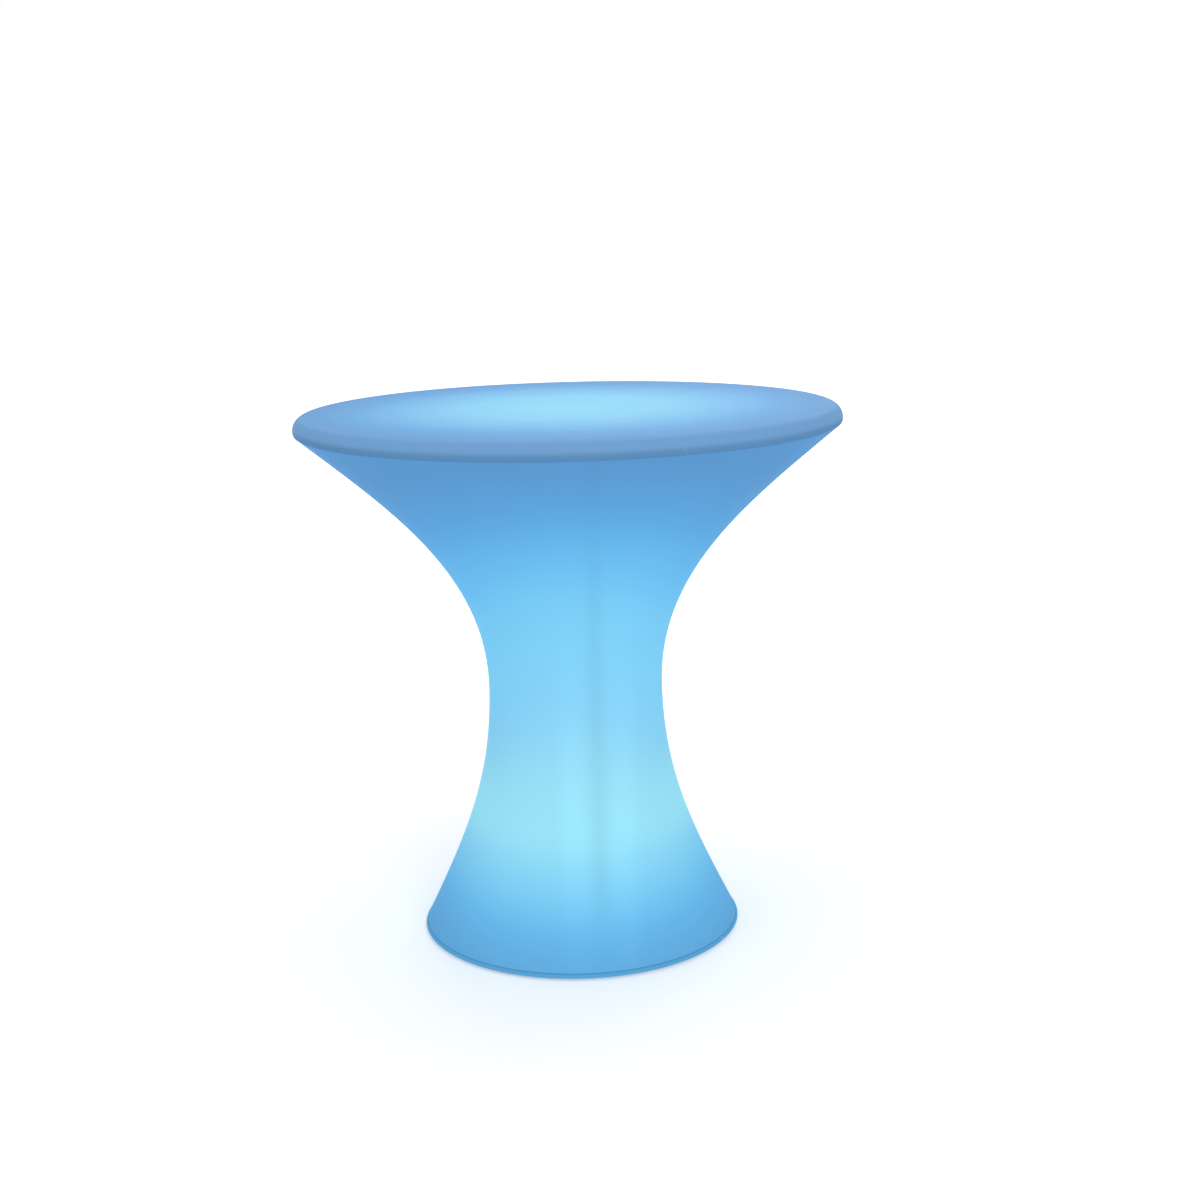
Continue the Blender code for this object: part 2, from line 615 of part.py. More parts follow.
def base_plate():
    """Plate that closes the foot: tray recess, collar, bosses, screw wells, foot seats."""
    outline = [(PLATE_OPENING, COLLAR_TOP), (PLATE_OPENING, RECESS_TOP),
               (TRAY_RECESS_RADIUS, RECESS_TOP), (TRAY_RECESS_RADIUS, PLATE_BOTTOM),
               (PLATE_RADIUS - PLATE_EDGE_ROUND, PLATE_BOTTOM),
               (PLATE_RADIUS, PLATE_BOTTOM + PLATE_EDGE_ROUND),
               (FOOT_RADIUS + PLATE_EDGE_ROUND, PLATE_TOP - PLATE_EDGE_ROUND),
               (FOOT_RADIUS, PLATE_TOP),
               (PLATE_OPENING + TRAY_COLLAR_WALL, PLATE_TOP),
               (PLATE_OPENING + TRAY_COLLAR_WALL, COLLAR_TOP)]
    group = bmesh.new()
    turn(group, outline, MAIN_SEGMENTS)
    piece = make("base_plate", group, "white_moulding")

    tray_places = circle_frames(TRAY_SCREW_COUNT, TRAY_SCREW_CIRCLE, TRAY_TURN)
    base_places = circle_frames(BASE_SCREW_COUNT, BASE_SCREW_CIRCLE, SCREW_TURN)
    bolt_places = circle_frames(BALLAST_BOLT_COUNT, BALLAST_BOLT_CIRCLE, BOLT_TURN)
    foot_places = circle_frames(PAD_FOOT_COUNT, BASE_SCREW_CIRCLE)

    bosses = bmesh.new()
    posts(bosses, TRAY_BOSS_RADIUS, PLATE_TOP - EMBED, COLLAR_TOP - EMBED, tray_places)
    shape_with(piece, bosses, 'UNION')

    cutters = bmesh.new()
    posts(cutters, M4_RADIUS + GAP, RECESS_TOP - OVERRUN, RECESS_TOP + M4_BITE + GAP, tray_places)
    for frame in base_places + bolt_places:
        well = PLATE_BOTTOM + GAP + M6_HEAD_HEIGHT + GAP
        turn(cutters, [(0, PLATE_BOTTOM - OVERRUN),
                       (M6_HEAD_RADIUS + SCREW_HOLE_CLEARANCE, PLATE_BOTTOM - OVERRUN),
                       (M6_HEAD_RADIUS + SCREW_HOLE_CLEARANCE, well),
                       (M6_RADIUS + SCREW_HOLE_CLEARANCE, well),
                       (M6_RADIUS + SCREW_HOLE_CLEARANCE, PLATE_TOP + OVERRUN),
                       (0, PLATE_TOP + OVERRUN)], frame=frame)
    for frame in foot_places:
        seat = PLATE_BOTTOM + PAD_FOOT_SINK
        turn(cutters, [(0, PLATE_BOTTOM - OVERRUN),
                       (PAD_FOOT_RADIUS + GAP, PLATE_BOTTOM - OVERRUN),
                       (PAD_FOOT_RADIUS + GAP, seat), (PAD_STEM_RADIUS + GAP, seat),
                       (PAD_STEM_RADIUS + GAP, PLATE_TOP + OVERRUN), (0, PLATE_TOP + OVERRUN)],
             ROUND_SEGMENTS, frame)
    shape_with(piece, cutters, 'DIFFERENCE')


def base_fixings():
    """Screws that hold the plate to the body, and the steel ring bolted on it as ballast."""
    head_level = PLATE_BOTTOM + GAP + M6_HEAD_HEIGHT
    copies("base_screw", socket_screw_outline(head_level, SHELL_BOTTOM + M6_BITE),
           circle_frames(BASE_SCREW_COUNT, BASE_SCREW_CIRCLE, SCREW_TURN))

    bottom = PLATE_TOP + GAP
    top = bottom + BALLAST_THICK
    places = circle_frames(BALLAST_BOLT_COUNT, BALLAST_BOLT_CIRCLE, BOLT_TURN)
    group = bmesh.new()
    turn(group, ring(BALLAST_INNER, BALLAST_OUTER, bottom, top), MAIN_SEGMENTS)
    ballast = make("ballast_ring", group, "painted_steel")
    cutters = bmesh.new()
    posts(cutters, M6_RADIUS + GAP, bottom - OVERRUN, top + OVERRUN, places)
    shape_with(ballast, cutters, 'DIFFERENCE')
    copies("ballast_bolt", socket_screw_outline(head_level, top - GAP), places)


def feet():
    """Rubber feet seated in the plate's underside, each with a stem pushed into the plate."""
    seat = PLATE_BOTTOM + PAD_FOOT_SINK - GAP
    outline = [(0, 0), (PAD_FOOT_RADIUS - PAD_FOOT_TAPER, 0), (PAD_FOOT_RADIUS, PLATE_BOTTOM),
               (PAD_FOOT_RADIUS, seat), (PAD_STEM_RADIUS, seat),
               (PAD_STEM_RADIUS, PLATE_TOP - PAD_STEM_COVER), (0, PLATE_TOP - PAD_STEM_COVER)]
    copies("rubber_foot", outline, circle_frames(PAD_FOOT_COUNT, BASE_SCREW_CIRCLE),
           "rubber", ROUND_SEGMENTS)


# Lamp tray and what closes it to the plate

def board_place(shares):
    """A place on the control board, from its shares of the board's size."""
    return BOARD_X + shares[0] * BOARD_WIDTH, shares[1] * BOARD_LENGTH


def board_corners():
    """The places of the control board's four standoffs."""
    half_x = BOARD_WIDTH / 2 - STANDOFF_INSET
    half_y = BOARD_LENGTH / 2 - STANDOFF_INSET
    return [at(BOARD_X + side * half_x, end * half_y)
            for side, end in ((-1, -1), (1, -1), (1, 1), (-1, 1))]


def hinge_place():
    """The charging cap's hinge axis runs along X through this point."""
    x, y = board_place(SOCKET_PLACE_SHARES)
    return x, y - CAP_ARM, HINGE_LEVEL


def ear_outline():
    """Side view of a hinge ear: round about the axis, square up into the floor."""
    rise = FLOOR_BOTTOM + EMBED - HINGE_LEVEL
    return [(rise, -KNUCKLE_RADIUS), (rise, KNUCKLE_RADIUS)] + [
        (-across, along) for along, across in
        arc((0, 0), KNUCKLE_RADIUS, 0, math.pi, SMALL_SEGMENTS)]


def along_x(x, y, z):
    """A frame whose own Z runs along +X, and whose own X runs along +Z."""
    turned = Matrix(((0, 0, 1, 0), (0, -1, 0, 0), (1, 0, 0, 0), (0, 0, 0, 1)))
    return Matrix.Translation((x, y, z)) @ turned


def lamp_tray():
    """Round tray: flange, hollow with the controls, floor, wall with a ledge and pilasters."""
    outline = [(0, FLOOR_TOP), (TRAY_INNER, FLOOR_TOP), (TRAY_INNER, LEDGE_TOP),
               (TRAY_UPPER_INNER, LEDGE_TOP), (TRAY_UPPER_INNER, TRAY_TOP),
               (TRAY_OUTER, TRAY_TOP), (TRAY_OUTER, TRAY_FLANGE_TOP),
               (TRAY_FLANGE_RADIUS, TRAY_FLANGE_TOP), (TRAY_FLANGE_RADIUS, TRAY_BOTTOM),
               (TRAY_OUTER - TRAY_WALL, TRAY_BOTTOM), (TRAY_OUTER - TRAY_WALL, FLOOR_BOTTOM),
               (0, FLOOR_BOTTOM)]
    group = bmesh.new()
    turn(group, outline, UNIT_SEGMENTS)
    piece = make("lamp_tray", group, "grey_moulding")

    additions = bmesh.new()
    posts(additions, PILASTER_RADIUS, FLOOR_TOP - EMBED, LEDGE_TOP - EMBED,
          circle_frames(PILASTER_COUNT, PILASTER_CIRCLE, TRAY_TURN))
    for corner in board_corners():
        turn(additions, [(0, FLOOR_TOP - EMBED), (STANDOFF_RADIUS, FLOOR_TOP - EMBED),
                         (STANDOFF_RADIUS, BOARD_BOTTOM - GAP), (STAKE_RADIUS, BOARD_BOTTOM - GAP),
                         (STAKE_RADIUS, BOARD_TOP + STAKE_PROUD), (0, BOARD_TOP + STAKE_PROUD)],
             frame=corner)
    x, y, z = hinge_place()
    for side in (-1, 1):
        near = CAP_NECK_WIDTH / 2 + GAP
        low, high = sorted((side * near, side * (near + EAR_THICK)))
        prism(additions, ear_outline(), low, high, along_x(x, y, z))
    shape_with(piece, additions, 'UNION')

    cutters = bmesh.new()
    posts(cutters, M4_RADIUS + SCREW_HOLE_CLEARANCE, TRAY_BOTTOM - OVERRUN,
          TRAY_FLANGE_TOP + OVERRUN,
          circle_frames(TRAY_SCREW_COUNT, TRAY_SCREW_CIRCLE, TRAY_TURN))
    posts(cutters, M3_RADIUS + GAP, LEDGE_TOP - M3_BITE - GAP, LEDGE_TOP + OVERRUN,
          circle_frames(PILASTER_COUNT, PILASTER_CIRCLE, TRAY_TURN))
    through_floor = ((BUTTON_PLACE_SHARES, BUTTON_RADIUS), (SOCKET_PLACE_SHARES, SOCKET_RADIUS),
                     (PILOT_PLACE_SHARES, PILOT_RADIUS))
    for shares, radius in through_floor:
        turn(cutters, rod(radius + GAP, FLOOR_BOTTOM - OVERRUN, FLOOR_TOP + OVERRUN),
             ROUND_SEGMENTS, at(*board_place(shares)))
    span = CAP_NECK_WIDTH / 2 + GAP + EAR_THICK + OVERRUN
    turn(cutters, rod(HINGE_PIN_RADIUS + GAP, -span, span), frame=along_x(x, y, z))
    shape_with(piece, cutters, 'DIFFERENCE')


def tray_fixings():
    """Gasket and screws that hold the tray's flange up to the plate."""
    places = circle_frames(TRAY_SCREW_COUNT, TRAY_SCREW_CIRCLE, TRAY_TURN)
    group = bmesh.new()
    turn(group, ring(PLATE_OPENING, TRAY_FLANGE_RADIUS, TRAY_GASKET_BOTTOM, TRAY_GASKET_TOP),
         UNIT_SEGMENTS)
    gasket = make("tray_gasket", group, "rubber")
    cutters = bmesh.new()
    posts(cutters, M4_RADIUS + SCREW_HOLE_CLEARANCE, TRAY_GASKET_BOTTOM - OVERRUN,
          TRAY_GASKET_TOP + OVERRUN, places)
    shape_with(gasket, cutters, 'DIFFERENCE')
    copies("tray_screw", screw_outline(TRAY_BOTTOM - GAP, M4_HEAD_RADIUS, M4_HEAD_HEIGHT,
                                       M4_RADIUS, RECESS_TOP + M4_BITE), places)


# Battery

def cell_xs():
    """Where the cells lie across the holder."""
    first = HOLDER_X - (CELL_COUNT - 1) * CELL_PITCH / 2
    return [first + index * CELL_PITCH for index in range(CELL_COUNT)]


def along_y(x, y, z):
    """A frame whose own Z runs along +Y."""
    return Matrix.Translation((x, y, z)) @ Matrix.Rotation(-math.pi / 2, 4, 'X')


def battery():
    """Cells in a troughed holder, with a strap over them."""
    group = bmesh.new()
    prism(group, rectangle(HOLDER_WIDTH, HOLDER_LENGTH, HOLDER_X), HOLDER_BOTTOM, CELL_CENTRE)
    holder = make("battery_holder", group, "black_moulding")
    half = CELL_LENGTH / 2 + CELL_CAP_HEIGHT / 2
    troughs = bmesh.new()
    for x in cell_xs():
        turn(troughs, rod(CELL_RADIUS + GAP, -half - GAP, half + GAP), ROUND_SEGMENTS,
             along_y(x, 0, CELL_CENTRE))
    shape_with(holder, troughs, 'DIFFERENCE')

    outline = [(0, -half), (CELL_RADIUS, -half), (CELL_RADIUS, half - CELL_CAP_HEIGHT),
               (CELL_CAP_RADIUS, half - CELL_CAP_HEIGHT), (CELL_CAP_RADIUS, half), (0, half)]
    for number, x in enumerate(cell_xs(), 1):
        turned = along_y(0, 0, 0) if number % 2 else along_y(0, 0, 0) @ Matrix.Rotation(
            math.pi, 4, 'X')
        group = bmesh.new()
        turn(group, outline, ROUND_SEGMENTS, turned)
        make(f"battery_cell_{number}", group, "cell_sleeve", (x, 0, CELL_CENTRE))

    side = HOLDER_WIDTH / 2 + GAP
    foot = CELL_CENTRE + CELL_RADIUS - STRAP_DROP
    outline = [(-side, foot), (-side - STRAP_THICK, foot),
               (-side - STRAP_THICK, STRAP_BOTTOM + STRAP_THICK),
               (side + STRAP_THICK, STRAP_BOTTOM + STRAP_THICK), (side + STRAP_THICK, foot),
               (side, foot), (side, STRAP_BOTTOM), (-side, STRAP_BOTTOM)]
    group = bmesh.new()
    upright = Matrix.Rotation(math.pi / 2, 4, 'X')
    prism(group, outline, -STRAP_WIDTH / 2, STRAP_WIDTH / 2, at(HOLDER_X, 0) @ upright)
    make("battery_strap", group, "strap_webbing")


# Control board, button, pilot light, charging socket

def control_board():
    """The board on its standoffs, with what is soldered on it."""
    group = bmesh.new()
    half_x = BOARD_WIDTH / 2 - BOARD_CORNER
    half_y = BOARD_LENGTH / 2 - BOARD_CORNER
    outline = []
    for index, (side, end) in enumerate(((1, 1), (-1, 1), (-1, -1), (1, -1))):
        start = index * math.pi / 2
        outline += arc((BOARD_X + side * half_x, end * half_y), BOARD_CORNER,
                       start, start + math.pi / 2, 2)
    prism(group, outline, BOARD_BOTTOM, BOARD_TOP)
    board = make("control_board", group, "circuit_board")

    foot = BOARD_TOP - EMBED
    parts = bmesh.new()
    prism(parts, rectangle(CHIP_SIDE, CHIP_SIDE, *board_place(CHIP_PLACE_SHARES)),
          foot, BOARD_TOP + CHIP_HEIGHT)
    turn(parts, rod(COIL_RADIUS, foot, BOARD_TOP + COIL_HEIGHT), ROUND_SEGMENTS,
         at(*board_place(COIL_PLACE_SHARES)))
    turn(parts, rod(CAPACITOR_RADIUS, foot, BOARD_TOP + CAPACITOR_HEIGHT), ROUND_SEGMENTS,
         at(*board_place(CAPACITOR_PLACE_SHARES)))
    for shares in (BATTERY_CONNECTOR_SHARES, LED_CONNECTOR_SHARES):
        prism(parts, rectangle(CONNECTOR_LENGTH, CONNECTOR_WIDTH, *board_place(shares)),
              foot, BOARD_TOP + CONNECTOR_HEIGHT)
    shape_with(board, parts, 'UNION')
    cutters = bmesh.new()
    posts(cutters, STAKE_RADIUS + GAP, BOARD_BOTTOM - OVERRUN, BOARD_TOP + OVERRUN,
          board_corners())
    shape_with(board, cutters, 'DIFFERENCE')


def push_button():
    """The button through the tray's floor, its switch, and the plunger between them."""
    x, y = board_place(BUTTON_PLACE_SHARES)
    axis = joint_axis("power_button_axis", (x, y, FLOOR_BOTTOM))
    flange_bottom = FLOOR_TOP + GAP - FLOOR_BOTTOM
    flange_top = flange_bottom + BUTTON_FLANGE_THICK
    flange_radius = BUTTON_RADIUS + BUTTON_FLANGE_WIDTH
    group = bmesh.new()
    turn(group, [(0, -BUTTON_PROUD), (BUTTON_RADIUS - BUTTON_ROUND, -BUTTON_PROUD),
                 (BUTTON_RADIUS, BUTTON_ROUND - BUTTON_PROUD), (BUTTON_RADIUS, flange_bottom),
                 (flange_radius, flange_bottom), (flange_radius, flange_top), (0, flange_top)],
         ROUND_SEGMENTS)
    make("power_button", group, "silicone", parent=axis)

    plunger_bottom = flange_top + GAP
    plunger_top = SWITCH_BOTTOM + PLUNGER_ENTRY - FLOOR_BOTTOM
    group = bmesh.new()
    turn(group, rod(PLUNGER_RADIUS, plunger_bottom, plunger_top))
    make("switch_plunger", group, "white_moulding", parent=axis)

    group = bmesh.new()
    prism(group, rectangle(SWITCH_SIDE, SWITCH_SIDE, x, y), SWITCH_BOTTOM, SWITCH_TOP)
    switch = make("button_switch", group, "black_moulding")
    cutters = bmesh.new()
    turn(cutters, rod(PLUNGER_RADIUS + GAP, SWITCH_BOTTOM - OVERRUN, SWITCH_TOP - SWITCH_CEILING),
         frame=at(x, y))
    shape_with(switch, cutters, 'DIFFERENCE')


def pilot_light():
    """Clear light guide from the board down through the tray's floor."""
    group = bmesh.new()
    flange = FLOOR_TOP + GAP
    turn(group, [(0, FLOOR_BOTTOM), (PILOT_RADIUS, FLOOR_BOTTOM), (PILOT_RADIUS, flange),
                 (PILOT_RADIUS + PILOT_FLANGE, flange),
                 (PILOT_RADIUS + PILOT_FLANGE, flange + PILOT_FLANGE),
                 (PILOT_RADIUS, flange + PILOT_FLANGE), (PILOT_RADIUS, BOARD_BOTTOM - GAP),
                 (0, BOARD_BOTTOM - GAP)], frame=at(*board_place(PILOT_PLACE_SHARES)))
    make("status_lens", group, "frosted_dome")


def charging_socket():
    """Round charging socket under the board, and the contact pin up through it."""
    place = at(*board_place(SOCKET_PLACE_SHARES))
    bore_top = FLOOR_BOTTOM + SOCKET_BORE_DEPTH
    top = BOARD_BOTTOM - GAP
    group = bmesh.new()
    turn(group, [(SOCKET_BORE_RADIUS, bore_top), (SOCKET_BORE_RADIUS, FLOOR_BOTTOM),
                 (SOCKET_RADIUS, FLOOR_BOTTOM), (SOCKET_RADIUS, top),
                 (SOCKET_PIN_RADIUS + GAP, top), (SOCKET_PIN_RADIUS + GAP, bore_top)],
         ROUND_SEGMENTS, place)
    make("charge_socket", group, "black_moulding")
    group = bmesh.new()
    turn(group, rod(SOCKET_PIN_RADIUS, FLOOR_BOTTOM + SOCKET_PIN_RECESS, top), frame=place)
    make("socket_pin", group, "steel")


def charging_cap():
    """Cap that closes the socket, with a knuckle on a steel pin between the tray's ears."""
    place = hinge_place()
    axis = joint_axis("charge_cap_axis", place)
    top = FLOOR_BOTTOM - GAP - HINGE_LEVEL
    half = CAP_NECK_WIDTH / 2
    opening = math.asin(half / CAP_RADIUS)
    outline = [(half, 0)] + [
        (x, y) for x, y in arc((0, CAP_ARM), CAP_RADIUS, opening - math.pi / 2,
                               math.pi * 3 / 2 - opening, ROUND_SEGMENTS)] + [(-half, 0)]
    group = bmesh.new()
    prism(group, outline, top - CAP_THICK, top)
    cap = make("charge_cap", group, "rubber", parent=axis)
    additions = bmesh.new()
    turn(additions, rod(KNUCKLE_RADIUS, -half, half), ROUND_SEGMENTS, along_x(0, 0, 0))
    turn(additions, rod(CAP_PLUG_RADIUS, top - EMBED, top + CAP_PLUG_HEIGHT),
         frame=at(0, CAP_ARM))
    shape_with(cap, additions, 'UNION')
    cutters = bmesh.new()
    turn(cutters, rod(HINGE_PIN_RADIUS + GAP, -half - OVERRUN, half + OVERRUN),
         frame=along_x(0, 0, 0))
    shape_with(cap, cutters, 'DIFFERENCE')

    group = bmesh.new()
    length = half + GAP + EAR_THICK + HINGE_PIN_END
    turn(group, rod(HINGE_PIN_RADIUS, -length, length), frame=along_x(*place))
    make("cap_hinge_pin", group, "steel")


# Light source

def heat_sink():
    """Round plate with straight fins under it, on the tray's ledge."""
    group = bmesh.new()
    turn(group, rod(DOME_FLANGE_RADIUS, SINK_BOTTOM, SINK_TOP), UNIT_SEGMENTS)
    piece = make("heat_sink", group, "aluminium")
    fins = bmesh.new()
    count = int((FIN_CIRCLE - FIN_THICK) / FIN_PITCH)
    for index in range(-count, count + 1):
        x = index * FIN_PITCH
        length = 2 * math.sqrt(FIN_CIRCLE ** 2 - (abs(x) + FIN_THICK / 2) ** 2)
        prism(fins, rectangle(FIN_THICK, length, x), FIN_BOTTOM, SINK_BOTTOM + EMBED)
    shape_with(piece, fins, 'UNION')
    cutters = bmesh.new()
    posts(cutters, M3_RADIUS + GAP, SINK_BOTTOM - OVERRUN, SINK_TOP + OVERRUN,
          circle_frames(PILASTER_COUNT, PILASTER_CIRCLE, TRAY_TURN))
    posts(cutters, LEAD_RADIUS + GAP, SINK_BOTTOM - OVERRUN, SINK_TOP + OVERRUN, [lead_frame()])
    shape_with(piece, cutters, 'DIFFERENCE')


def lead_frame():
    """Where the LED lead rises through the sink, midway between two fins."""
    return at(FIN_PITCH * 5 / 2, board_place(LED_CONNECTOR_SHARES)[1])


def light_source():
    """Thermal pad, LED board with its LEDs, and remote receiver on the sink."""
    layers = (("thermal_pad", "silicone", PAD_BOTTOM, THERMAL_PAD_THICK),
              ("led_board", "white_board", LED_BOARD_BOTTOM, LED_BOARD_THICK))
    for name, finish, bottom, thick in layers:
        group = bmesh.new()
        turn(group, rod(LED_BOARD_RADIUS, bottom, bottom + thick), UNIT_SEGMENTS)
        layer = make(name, group, finish)
        cutters = bmesh.new()
        posts(cutters, LEAD_RADIUS + GAP, bottom - OVERRUN, bottom + thick + OVERRUN,
              [lead_frame()])
        shape_with(layer, cutters, 'DIFFERENCE')
    leds = bmesh.new()
    for share, count in zip(LED_RING_SHARES, LED_RING_COUNTS):
        for frame in circle_frames(count, LED_BOARD_RADIUS * share):
            prism(leds, rectangle(LED_SIDE, LED_SIDE), LED_BOARD_TOP - EMBED,
                  LED_BOARD_TOP + LED_HEIGHT, frame)
    shape_with(layer, leds, 'UNION')

    half = RECEIVER_WIDTH / 2
    foot = LED_BOARD_TOP + GAP
    group = bmesh.new()
    outline = [(half, -RECEIVER_DEPTH / 2), (half, 0)]
    outline += arc((0, 0), half * 3 / 4, 0, math.pi, SMALL_SEGMENTS)
    outline += [(-half, 0), (-half, -RECEIVER_DEPTH / 2)]
    prism(group, outline, foot, foot + RECEIVER_HEIGHT)
    make("remote_receiver", group, "black_moulding")


def dome():
    """Frosted dome over the LEDs, with its seal, screwed through the sink to the tray."""
    places = circle_frames(PILASTER_COUNT, PILASTER_CIRCLE, TRAY_TURN)
    inner = DOME_RADIUS - DOME_WALL
    group = bmesh.new()
    turn(group, ring(inner, DOME_FLANGE_RADIUS, SINK_TOP + GAP, SINK_TOP + GAP + DOME_SEAL_THICK),
         UNIT_SEGMENTS)
    seal = make("dome_seal", group, "rubber")
    cutters = bmesh.new()
    posts(cutters, M3_RADIUS + GAP, SINK_TOP - OVERRUN, DOME_FLANGE_BOTTOM + OVERRUN, places)
    shape_with(seal, cutters, 'DIFFERENCE')

    crown = DOME_FLANGE_TOP + DOME_HEIGHT
    outline = [(0, crown)] + dome_line(DOME_RADIUS, DOME_FLANGE_TOP, crown)
    outline += [(DOME_FLANGE_RADIUS, DOME_FLANGE_TOP), (DOME_FLANGE_RADIUS, DOME_FLANGE_BOTTOM)]
    outline += reversed(dome_line(inner, DOME_FLANGE_BOTTOM, crown - DOME_WALL))
    outline += [(0, crown - DOME_WALL)]
    group = bmesh.new()
    turn(group, outline, UNIT_SEGMENTS)
    piece = make("diffuser_dome", group, "frosted_dome")
    cutters = bmesh.new()
    posts(cutters, M3_RADIUS + GAP, DOME_FLANGE_BOTTOM - OVERRUN, DOME_FLANGE_TOP + OVERRUN,
          places)
    shape_with(piece, cutters, 'DIFFERENCE')
    copies("dome_screw", screw_outline(DOME_FLANGE_TOP + GAP, M3_HEAD_RADIUS, M3_HEAD_HEIGHT,
                                       M3_RADIUS, LEDGE_TOP - M3_BITE), places)


def dome_line(radius, base, crown):
    """Quarter ellipse from near the crown down to the rim."""
    angles = [math.pi / 2 * step / DOME_POINTS for step in range(1, DOME_POINTS + 1)]
    return [(radius * math.sin(a), base + (crown - base) * math.cos(a)) for a in angles]


# Leads

def lead(name, route, finish):
    """Round lead on a smooth line through its route's points."""
    points = smooth_line(route)
    curve = bpy.data.curves.new(name, 'CURVE')
    curve.dimensions = '3D'
    curve.bevel_depth = LEAD_RADIUS
    curve.bevel_resolution = 2
    curve.use_fill_caps = True
    spline = curve.splines.new('POLY')
    spline.points.add(len(points) - 1)
    for knot, point in zip(spline.points, points):
        knot.co = (*point, 1.0)
    piece = bpy.data.objects.new(name, curve)
    bpy.context.scene.collection.objects.link(piece)
    coat(piece, finish)


def smooth_line(route):
    """Points along a smooth curve through a route, a lead step apart."""
    knots = [Vector(point) for point in route]
    knots = [2 * knots[0] - knots[1]] + knots + [2 * knots[-1] - knots[-2]]
    points = []
    for before, start, end, after in zip(knots, knots[1:], knots[2:], knots[3:]):
        count = max(2, round((end - start).length / LEAD_STEP))
        reach = (end - start).length / 3
        leave = (end - before).normalized() * reach
        arrive = (after - start).normalized() * reach
        points += interpolate_bezier(start, start + leave, end - arrive, end, count + 1)[:-1]
    return points + [knots[-2]]


def leads():
    """Battery lead round to the board, and LED lead up through the sink."""
    x, y = board_place(BATTERY_CONNECTOR_SHARES)
    side = y + CONNECTOR_WIDTH / 2 + GAP
    level = BOARD_TOP + CONNECTOR_HEIGHT / 2
    start = HOLDER_X + HOLDER_WIDTH / 2 - LEAD_SLACK
    end = HOLDER_LENGTH / 2 + GAP
    low = (HOLDER_BOTTOM + CELL_CENTRE) / 2
    middle = (low + level) / 2
    lead("battery_lead",
         [(start, end, low), (start, end + LEAD_SLACK / 2, low),
          ((start + x) / 2, end + LEAD_SLACK, middle),
          (x, end + LEAD_SLACK / 4, level), (x, (end + side) / 2, level), (x, side, level)],
         "lead_sheath")

    x, y = board_place(LED_CONNECTOR_SHARES)
    rise = lead_frame().translation
    plug_top = BOARD_TOP + CONNECTOR_HEIGHT + GAP
    lead("led_lead",
         [(x, y, plug_top), (x, y, plug_top + LEAD_RADIUS), (rise.x, rise.y, FIN_BOTTOM),
          (rise.x, rise.y, SINK_TOP), (rise.x, rise.y, LED_BOARD_TOP)], "lead_sheath")


def build():
    """Make every piece of the table."""
    clear_objects()
    tabletop()
    body_shell()
    top_joint()
    base_plate()
    base_fixings()
    feet()
    lamp_tray()
    tray_fixings()
    battery()
    control_board()
    push_button()
    pilot_light()
    charging_socket()
    charging_cap()
    heat_sink()
    light_source()
    dome()
    leads()


build()
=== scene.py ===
"""Looks of the light up table: fine mouldings, lit plastic, fastenings and a plain studio.

Units are metres and +Z is up. Every piece is made in the frame's own coordinates.
The table is turned about +Z, and its front is towards -Y.
"""
import json
import math

import bmesh
import bpy
from mathutils import Matrix, Vector
from mathutils.geometry import interpolate_bezier

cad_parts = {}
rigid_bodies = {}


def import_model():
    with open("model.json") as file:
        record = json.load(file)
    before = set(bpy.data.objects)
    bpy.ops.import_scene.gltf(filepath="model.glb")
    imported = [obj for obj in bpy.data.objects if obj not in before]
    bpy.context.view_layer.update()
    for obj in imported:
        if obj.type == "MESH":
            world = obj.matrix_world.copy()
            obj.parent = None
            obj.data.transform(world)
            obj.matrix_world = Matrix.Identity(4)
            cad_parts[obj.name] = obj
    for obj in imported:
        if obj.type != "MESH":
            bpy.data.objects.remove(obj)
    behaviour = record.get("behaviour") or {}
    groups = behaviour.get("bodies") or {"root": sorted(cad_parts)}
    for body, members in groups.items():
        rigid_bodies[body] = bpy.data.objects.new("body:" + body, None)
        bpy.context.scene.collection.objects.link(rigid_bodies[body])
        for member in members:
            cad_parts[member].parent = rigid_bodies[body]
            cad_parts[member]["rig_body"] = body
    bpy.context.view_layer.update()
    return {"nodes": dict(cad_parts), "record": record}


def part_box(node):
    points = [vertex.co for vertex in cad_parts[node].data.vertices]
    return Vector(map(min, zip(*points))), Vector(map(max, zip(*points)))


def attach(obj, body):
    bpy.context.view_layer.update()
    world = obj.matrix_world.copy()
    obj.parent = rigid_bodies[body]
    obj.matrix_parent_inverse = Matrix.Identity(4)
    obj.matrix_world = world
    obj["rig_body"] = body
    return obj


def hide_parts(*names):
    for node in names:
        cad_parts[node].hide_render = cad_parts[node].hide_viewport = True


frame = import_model()

# Form of the mouldings
RIM_UPPER_ROUND = 0.017
RIM_STRAIGHT = 0.0024
RIM_LOWER_ROUND = 0.006
RIM_TUCK_ANGLE = math.radians(34.7)
FLARE_ANGLE = math.radians(40.4)
FLARE_REACH = 0.157
FLARE_WAIST_REACH = 0.167
WAIST_RADIUS = 0.1253
WAIST_HEIGHT = 0.3625
SKIRT_WAIST_REACH = 0.139
SKIRT_REACH = 0.136
SKIRT_ANGLE = math.radians(63.8)
WALL = 0.005
GAP = 0.0003
OVERRUN = 0.002
EMBED = 0.0005
WELD_DISTANCE = 0.000001

# Joint between tabletop and body
TOP_FLANGE_WIDTH = 0.0515
TOP_FLANGE_THICK = 0.006
MOUTH_LIP = 0.0075
SPIGOT_CLEARANCE = 0.0008
SEAL_WIDTH = 0.013
VENT_RADIUS = 0.005
TOP_BOSS_RADIUS = 0.008
TOP_BOSS_COVER = 0.002

